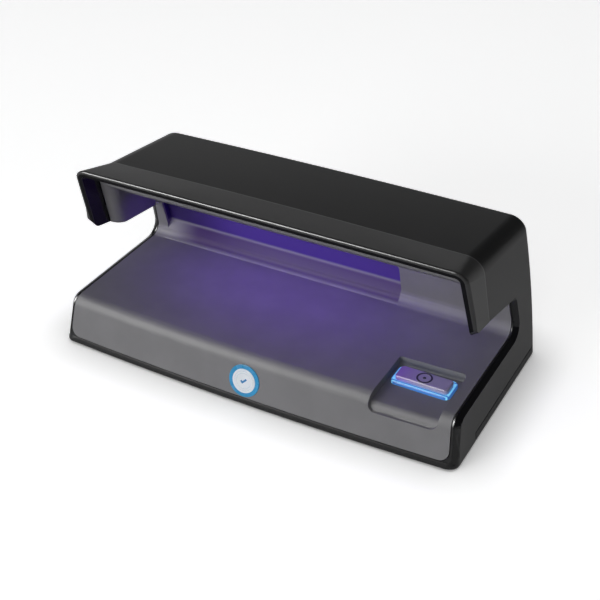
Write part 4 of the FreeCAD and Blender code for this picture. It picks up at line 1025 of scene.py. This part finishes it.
@dataclass(frozen=True)
class Tray:
    """Grey tray with the round badge on its apron."""

    ease: float = 0.0005
    wall: LeaningPlane = LeaningPlane(0.0289, 0.0236, 0.2563)
    ramp_top: float = 0.0315
    pocket_x: tuple[float, float] = (-0.091, 0.042)
    grey: Colour = (0.195, 0.193, 0.20)
    # Painted violet glow of the lamp on the back of the pocket.
    pocket_uv_glow: Colour = (0.085, 0.048, 0.27)
    # Darker violet for the sloped foot below the pocket: painted violet glow and painted shade.
    ramp_glow_shade: Colour = (0.055, 0.028, 0.10)
    badge_lean: float = 0.25
    badge_proud: float = 0.00034
    field_r: float = 0.0059
    field_core: float = 0.0022
    field_thick: float = 0.0003
    tick_arms: tuple[float, float] = (0.0016, 0.0032)
    tick_width: float = 0.0009
    tick_thick: float = 0.00015

    def build(self) -> None:
        """Dresses the tray and the badge."""
        grey = TrayPlastic("tray_grey", self.grey, self.pocket_uv_glow, self.ramp_glow_shade, self.wall, self.ramp_top,
                           self.pocket_x)
        settle(eased_copy("inner_tray", "note_tray", self.ease), grey, Body.HOUSING, "inner_tray")
        blue = MouldedPlastic("badge_blue", (0.035, 0.30, 0.58), 0.78, Grain.POLISHED)
        carry("front_badge", blue)
        self.badge_marks()

    def badge_marks(self) -> None:
        """Adds the white field with its two fine grooves and a plain blue tick."""
        low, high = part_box("front_badge")
        tilt = math.pi / 2.0 - math.atan(self.badge_lean)
        outward = Vector((0.0, -1.0, self.badge_lean)).normalized()
        face = (low + high) / 2.0 + outward * self.badge_proud
        white = MouldedPlastic("badge_white", (0.82, 0.86, 0.9), 0.7, Grain.POLISHED, 0.04)
        field = Disc("badge_field", tuple(face), tilt, self.field_r, self.field_core,
                     self.field_thick, grooves=2)
        settle(field.build(), white, Body.HOUSING)
        blue = MouldedPlastic("badge_tick_blue", (0.03, 0.22, 0.5), 0.7, Grain.POLISHED)
        on_field = tuple(face + outward * self.field_thick)
        tick = Tick("badge_tick", on_field, tilt, self.tick_arms, self.tick_width, self.tick_thick)
        settle(tick.build(), blue, Body.HOUSING)


@dataclass(frozen=True)
class Canopy:
    """Grey lining of the canopy and the violet lamp above it."""

    ease: float = 0.0005
    lamp_size: tuple[float, float] = (0.10, 0.014)
    lamp_shift: float = -0.014
    lamp_power: float = 0.017
    lamp_colour: Colour = (0.27, 0.05, 1.0)
    lamp_drop: float = 0.0008
    grey: Colour = (0.17, 0.168, 0.175)

    def build(self) -> None:
        """Dresses the liner and the lamp's parts and lights the lamp."""
        grey = MouldedPlastic("liner_grey", self.grey, 0.48, Grain.SOFT, 0.05)
        lining = ease(split_large_faces(merged_copy("canopy_liner", "canopy_lining")), self.ease)
        settle(flatten_shading(lining), grey, Body.HOUSING, "canopy_liner")
        screw = Metal("small_screw_steel", PLATED_STEEL, 0.3)
        for node in ("liner_screws", "led_board_screws"):
            carry(node, screw)
        window = ClearPart("window_clear", (0.8, 0.8, 0.9), 0.12, 0.6, (0.16, 0.06, 0.9), 0.9)
        carry("lamp_window", window)
        carry("lamp_reflector", Metal("reflector_sheet", (0.85, 0.86, 0.88), 0.18))
        carry("led_board", CircuitBoard("led_board_white", (0.62, 0.64, 0.62), (0.75, 0.6, 0.25)))
        carry("uv_leds", ClearPart("uv_lens", (0.7, 0.72, 0.9), 0.1, 0.4, (0.25, 0.10, 1.0), 4.0))
        carry("lamp_plug", MouldedPlastic("lamp_plug_nylon", NYLON, 0.45))
        carry("lamp_lead", Rubber("lamp_lead_sleeve", SLEEVE_BLACK, 0.5))
        self.light()

    def light(self) -> None:
        """Adds the lamp's light just under its window, nearer to its left end."""
        low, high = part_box("lamp_window")
        data = bpy.data.lights.new("uv_glow", "AREA")
        data.shape = "RECTANGLE"
        data.size, data.size_y = self.lamp_size
        data.energy = self.lamp_power
        data.color = self.lamp_colour
        lamp = bpy.data.objects.new("uv_glow", data)
        bpy.context.collection.objects.link(lamp)
        middle = (low + high) / 2.0
        lamp.location = (middle.x + self.lamp_shift, middle.y, low.z - self.lamp_drop)


@dataclass(frozen=True)
class Button:
    """Power button with its mark, light ring and switch."""

    ease: float = 0.00045
    mark_outer: float = 0.0037
    mark_inner: float = 0.00275
    dot_r: float = 0.0008
    mark_thick: float = 0.00012
    mark_sunk: float = 0.00002
    stroke: float = 0.0018
    # The violet cap colour paints the lamp's glow on the cap; it fades into the cap's own
    # grey-violet across the x span given after it.
    cap_painted_glow: Colour = (0.36, 0.20, 0.62)
    cap_grey: Colour = (0.40, 0.36, 0.52)
    cap_glow_fade: tuple[float, float] = (0.0605, 0.0785)
    cap_gap: float = 0.0015
    ring_half_y: float = 0.0063
    ring_strength: float = 0.62

    def build(self) -> None:
        """Dresses the button and everything below it."""
        violet = CapPaintedGlow("cap_grey_painted_glow", self.cap_painted_glow, self.cap_grey, self.cap_glow_fade)
        settle(eased_copy("button_cap", "power_cap", self.ease), violet, Body.BUTTON, "button_cap")
        low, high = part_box("button_cap")
        middle = ((low.x + high.x) / 2.0, (low.y + high.y) / 2.0, high.z - self.mark_sunk)
        ink = MouldedPlastic("mark_ink", (0.012, 0.008, 0.03), 0.5)
        ring = Disc("power_mark_ring", middle, 0.0, self.mark_outer, self.mark_inner,
                    self.mark_thick)
        dot = Disc("power_mark_dot", middle, 0.0, self.dot_r, 0.0, self.mark_thick)
        for mark in (ring, dot):
            settle(mark.build(), ink, Body.BUTTON)
        self.light_ring()
        self.switch()

    def light_ring(self) -> None:
        """Dresses the lit frame round the cap and its LEDs."""
        low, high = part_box("light_ring")
        cap_low, cap_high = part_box("button_cap")
        centre = ((low.x + high.x) / 2.0, (low.y + high.y) / 2.0)
        half = ((cap_high.x - cap_low.x) / 2.0 + self.cap_gap, self.ring_half_y)
        lit = LitRing("ring_glow", (0.04, 0.15, 0.44), (0.22, 0.66, 1.0), centre, half,
                      self.ring_strength)
        settle(eased_copy("light_ring", "button_ring", self.ease), lit, Body.HOUSING, "light_ring")
        lens = ClearPart("ring_led_lens", (0.8, 0.85, 0.95), 0.15, 0.3, (0.3, 0.7, 1.0), 3.0)
        carry("ring_leds", lens)

    def switch(self) -> None:
        """Dresses the switch and its board."""
        carry("switch_body", MouldedPlastic("switch_black", (0.02, 0.02, 0.02), 0.5))
        carry("switch_plunger", MouldedPlastic("plunger_white", (0.7, 0.7, 0.66), 0.5))
        spring = merged_copy("switch_spring", "plunger_spring")
        wire = Metal("spring_steel", (0.62, 0.62, 0.6), 0.25)
        settle(spring, wire, Body.HOUSING, "switch_spring")
        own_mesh(spring)
        carry("button_board", CircuitBoard("button_board_green", BOARD_GREEN, BOARD_TRACK))
        carry("button_board_screws", Metal("button_board_screw_steel", PLATED_STEEL, 0.3))
        carry("button_plug", MouldedPlastic("button_plug_nylon", NYLON, 0.45))
        carry("button_lead", Rubber("button_lead_sleeve", SLEEVE_BLACK, 0.5))


@dataclass(frozen=True)
class Driver:
    """Main board with the parts on it."""

    def build(self) -> None:
        """Dresses the board and its parts."""
        carry("main_board", CircuitBoard("main_board_green", BOARD_GREEN, BOARD_TRACK))
        carry("main_board_screws", Metal("main_board_screw_steel", PLATED_STEEL, 0.3))
        carry("driver_coil", Rubber("coil_ferrite", (0.035, 0.033, 0.032), 0.6))
        carry("driver_capacitors", Metal("capacitor_sleeve", (0.05, 0.06, 0.09), 0.35))
        carry("driver_chip", MouldedPlastic("chip_resin", (0.016, 0.016, 0.018), 0.4))
        carry("board_plugs", MouldedPlastic("board_plug_nylon", NYLON, 0.45))
        carry("dc_inlet_jack", MouldedPlastic("jack_black", (0.018, 0.018, 0.019), 0.55))


class Reach(Enum):
    """What a lamp shows in: plain light only, or reflections only."""

    MATT = "matt"
    SHINE = "shine"


@dataclass(frozen=True)
class Softbox:
    """A rectangular lamp that faces the object."""

    name: str
    place: tuple[float, float, float]
    size: tuple[float, float]
    power: float
    reach: Reach
    target: tuple[float, float, float] = (0.0, 0.0, 0.045)

    def hang(self) -> None:
        """Adds the lamp."""
        data = bpy.data.lights.new(self.name, "AREA")
        data.shape = "RECTANGLE"
        data.size, data.size_y = self.size
        data.energy = self.power
        lamp = bpy.data.objects.new(self.name, data)
        bpy.context.collection.objects.link(lamp)
        turn = (Vector(self.target) - Vector(self.place)).to_track_quat("-Z", "Y")
        lamp.matrix_world = Matrix.Translation(self.place) @ turn.to_matrix().to_4x4()
        lamp.visible_diffuse = self.reach is Reach.MATT
        lamp.visible_glossy = self.reach is Reach.SHINE


@dataclass(frozen=True)
class Studio:
    """Floor, light and camera."""

    camera_place: tuple[float, float, float] = (0.22884, -0.40056, 0.33942)
    azimuth: float = 29.49
    elevation: float = 34.10
    roll: float = -0.99
    lens: float = 70.86
    floor_size: float = 3.0
    floor_lift: float = 0.73
    floor_shine: float = 0.12
    # Reach and strength of the painted contact shadow on the floor.
    contact_reach: float = 0.024
    contact_depth: float = 1.5
    world_level: float = 0.065

    def build(self) -> None:
        """Makes the whole set."""
        bpy.context.scene.view_settings.view_transform = "Standard"
        self.camera()
        self.floor()
        self.world()
        self.lamps()

    def camera(self) -> None:
        """Places the camera from its azimuth, elevation and roll."""
        data = bpy.data.cameras.new("studio_camera")
        data.lens = self.lens
        data.sensor_width = 36.0
        data.clip_start = 0.01
        camera = bpy.data.objects.new("studio_camera", data)
        bpy.context.collection.objects.link(camera)
        turn, tilt, roll = (math.radians(v) for v in (self.azimuth, self.elevation, self.roll))
        level = math.cos(tilt)
        back = Vector((math.sin(turn) * level, -math.cos(turn) * level, math.sin(tilt)))
        right = Vector((0.0, 0.0, 1.0)).cross(back).normalized()
        up = back.cross(right)
        rolled_right = math.cos(roll) * right + math.sin(roll) * up
        rolled_up = -math.sin(roll) * right + math.cos(roll) * up
        frame_matrix = Matrix((rolled_right, rolled_up, back)).transposed().to_4x4()
        frame_matrix.translation = Vector(self.camera_place)
        camera.matrix_world = frame_matrix
        bpy.context.scene.camera = camera

    def floor(self) -> None:
        """Lays the white floor, which looks white to the camera, keeps the lamps' shadow and has a
        painted contact shadow near the object.
        """
        bpy.ops.mesh.primitive_plane_add(size=self.floor_size, location=(0.0, 0.0, 0.0))
        floor = bpy.context.object
        floor.name = "studio_floor"
        sheet = NodeSheet("floor_white")
        diffuse = sheet.add("BsdfDiffuse")
        diffuse.inputs["Color"].default_value = (0.86, 0.86, 0.86, 1.0)
        rays = sheet.add("LightPath")
        seen = sheet.math("MAXIMUM", rays.outputs["Is Camera Ray"],
                          rays.outputs["Is Transmission Ray"])
        # Painted contact shadow: ambient occlusion dims the floor's glow near the object.
        near = sheet.add("AmbientOcclusion", samples=8)
        near.inputs["Distance"].default_value = self.contact_reach
        uncovered = sheet.math("POWER", near.outputs["AO"], self.contact_depth)
        lift = sheet.math("MULTIPLY_ADD", seen, sheet.math("MULTIPLY", uncovered, self.floor_lift),
                          sheet.math("MULTIPLY", rays.outputs["Is Glossy Ray"], self.floor_shine))
        shine = sheet.add("Emission")
        sheet.join(lift, shine.inputs["Strength"])
        both = sheet.add("AddShader")
        sheet.join(diffuse.outputs[0], both.inputs[0])
        sheet.join(shine.outputs[0], both.inputs[1])
        sheet.join(both.outputs[0], sheet.output.inputs["Surface"])
        floor.data.materials.append(sheet.material)

    def world(self) -> None:
        """White surroundings for the camera, plain grey ones for the light."""
        world = bpy.data.worlds.new("studio_world")
        bpy.context.scene.world = world
        world.use_nodes = True
        tree = world.node_tree
        tree.nodes.clear()
        output = tree.nodes.new("ShaderNodeOutputWorld")
        rays = tree.nodes.new("ShaderNodeLightPath")
        white = tree.nodes.new("ShaderNodeBackground")
        white.inputs["Strength"].default_value = 1.0
        grey = tree.nodes.new("ShaderNodeBackground")
        grey.inputs["Color"].default_value = (0.96, 0.97, 1.0, 1.0)
        grey.inputs["Strength"].default_value = self.world_level
        mix = tree.nodes.new("ShaderNodeMixShader")
        tree.links.new(rays.outputs["Is Camera Ray"], mix.inputs[0])
        tree.links.new(grey.outputs[0], mix.inputs[1])
        tree.links.new(white.outputs[0], mix.inputs[2])
        tree.links.new(mix.outputs[0], output.inputs["Surface"])

    def lamps(self) -> None:
        """Hangs a low soft key in front, weak fills, and panels that only the plastics reflect."""
        for softbox in (
            Softbox("key", (-0.45, -1.15, 0.36), (0.9, 0.5), 9.2, Reach.MATT),
            Softbox("front_top", (0.3, -0.85, 0.85), (0.4, 0.4), 1.8, Reach.MATT),
            Softbox("side_fill", (1.1, -0.2, 0.35), (0.5, 0.5), 0.5, Reach.MATT),
            Softbox("above", (0.0, 0.2, 1.2), (0.9, 0.6), 0.9, Reach.MATT),
            Softbox("back_panel", (-0.80, 1.40, 0.20), (1.4, 0.28), 0.95, Reach.SHINE),
            Softbox("glint", (-0.57, -0.72, 0.80), (0.6, 0.7), 44.0, Reach.SHINE),
        ):
            softbox.hang()


def main() -> None:
    """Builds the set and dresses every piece."""
    logging.basicConfig(level=logging.INFO)
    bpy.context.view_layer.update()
    Studio().build()
    for assembly in (Hood(), Tray(), Canopy(), Button(), Driver()):
        assembly.build()


if __name__ == "__main__":
    main()
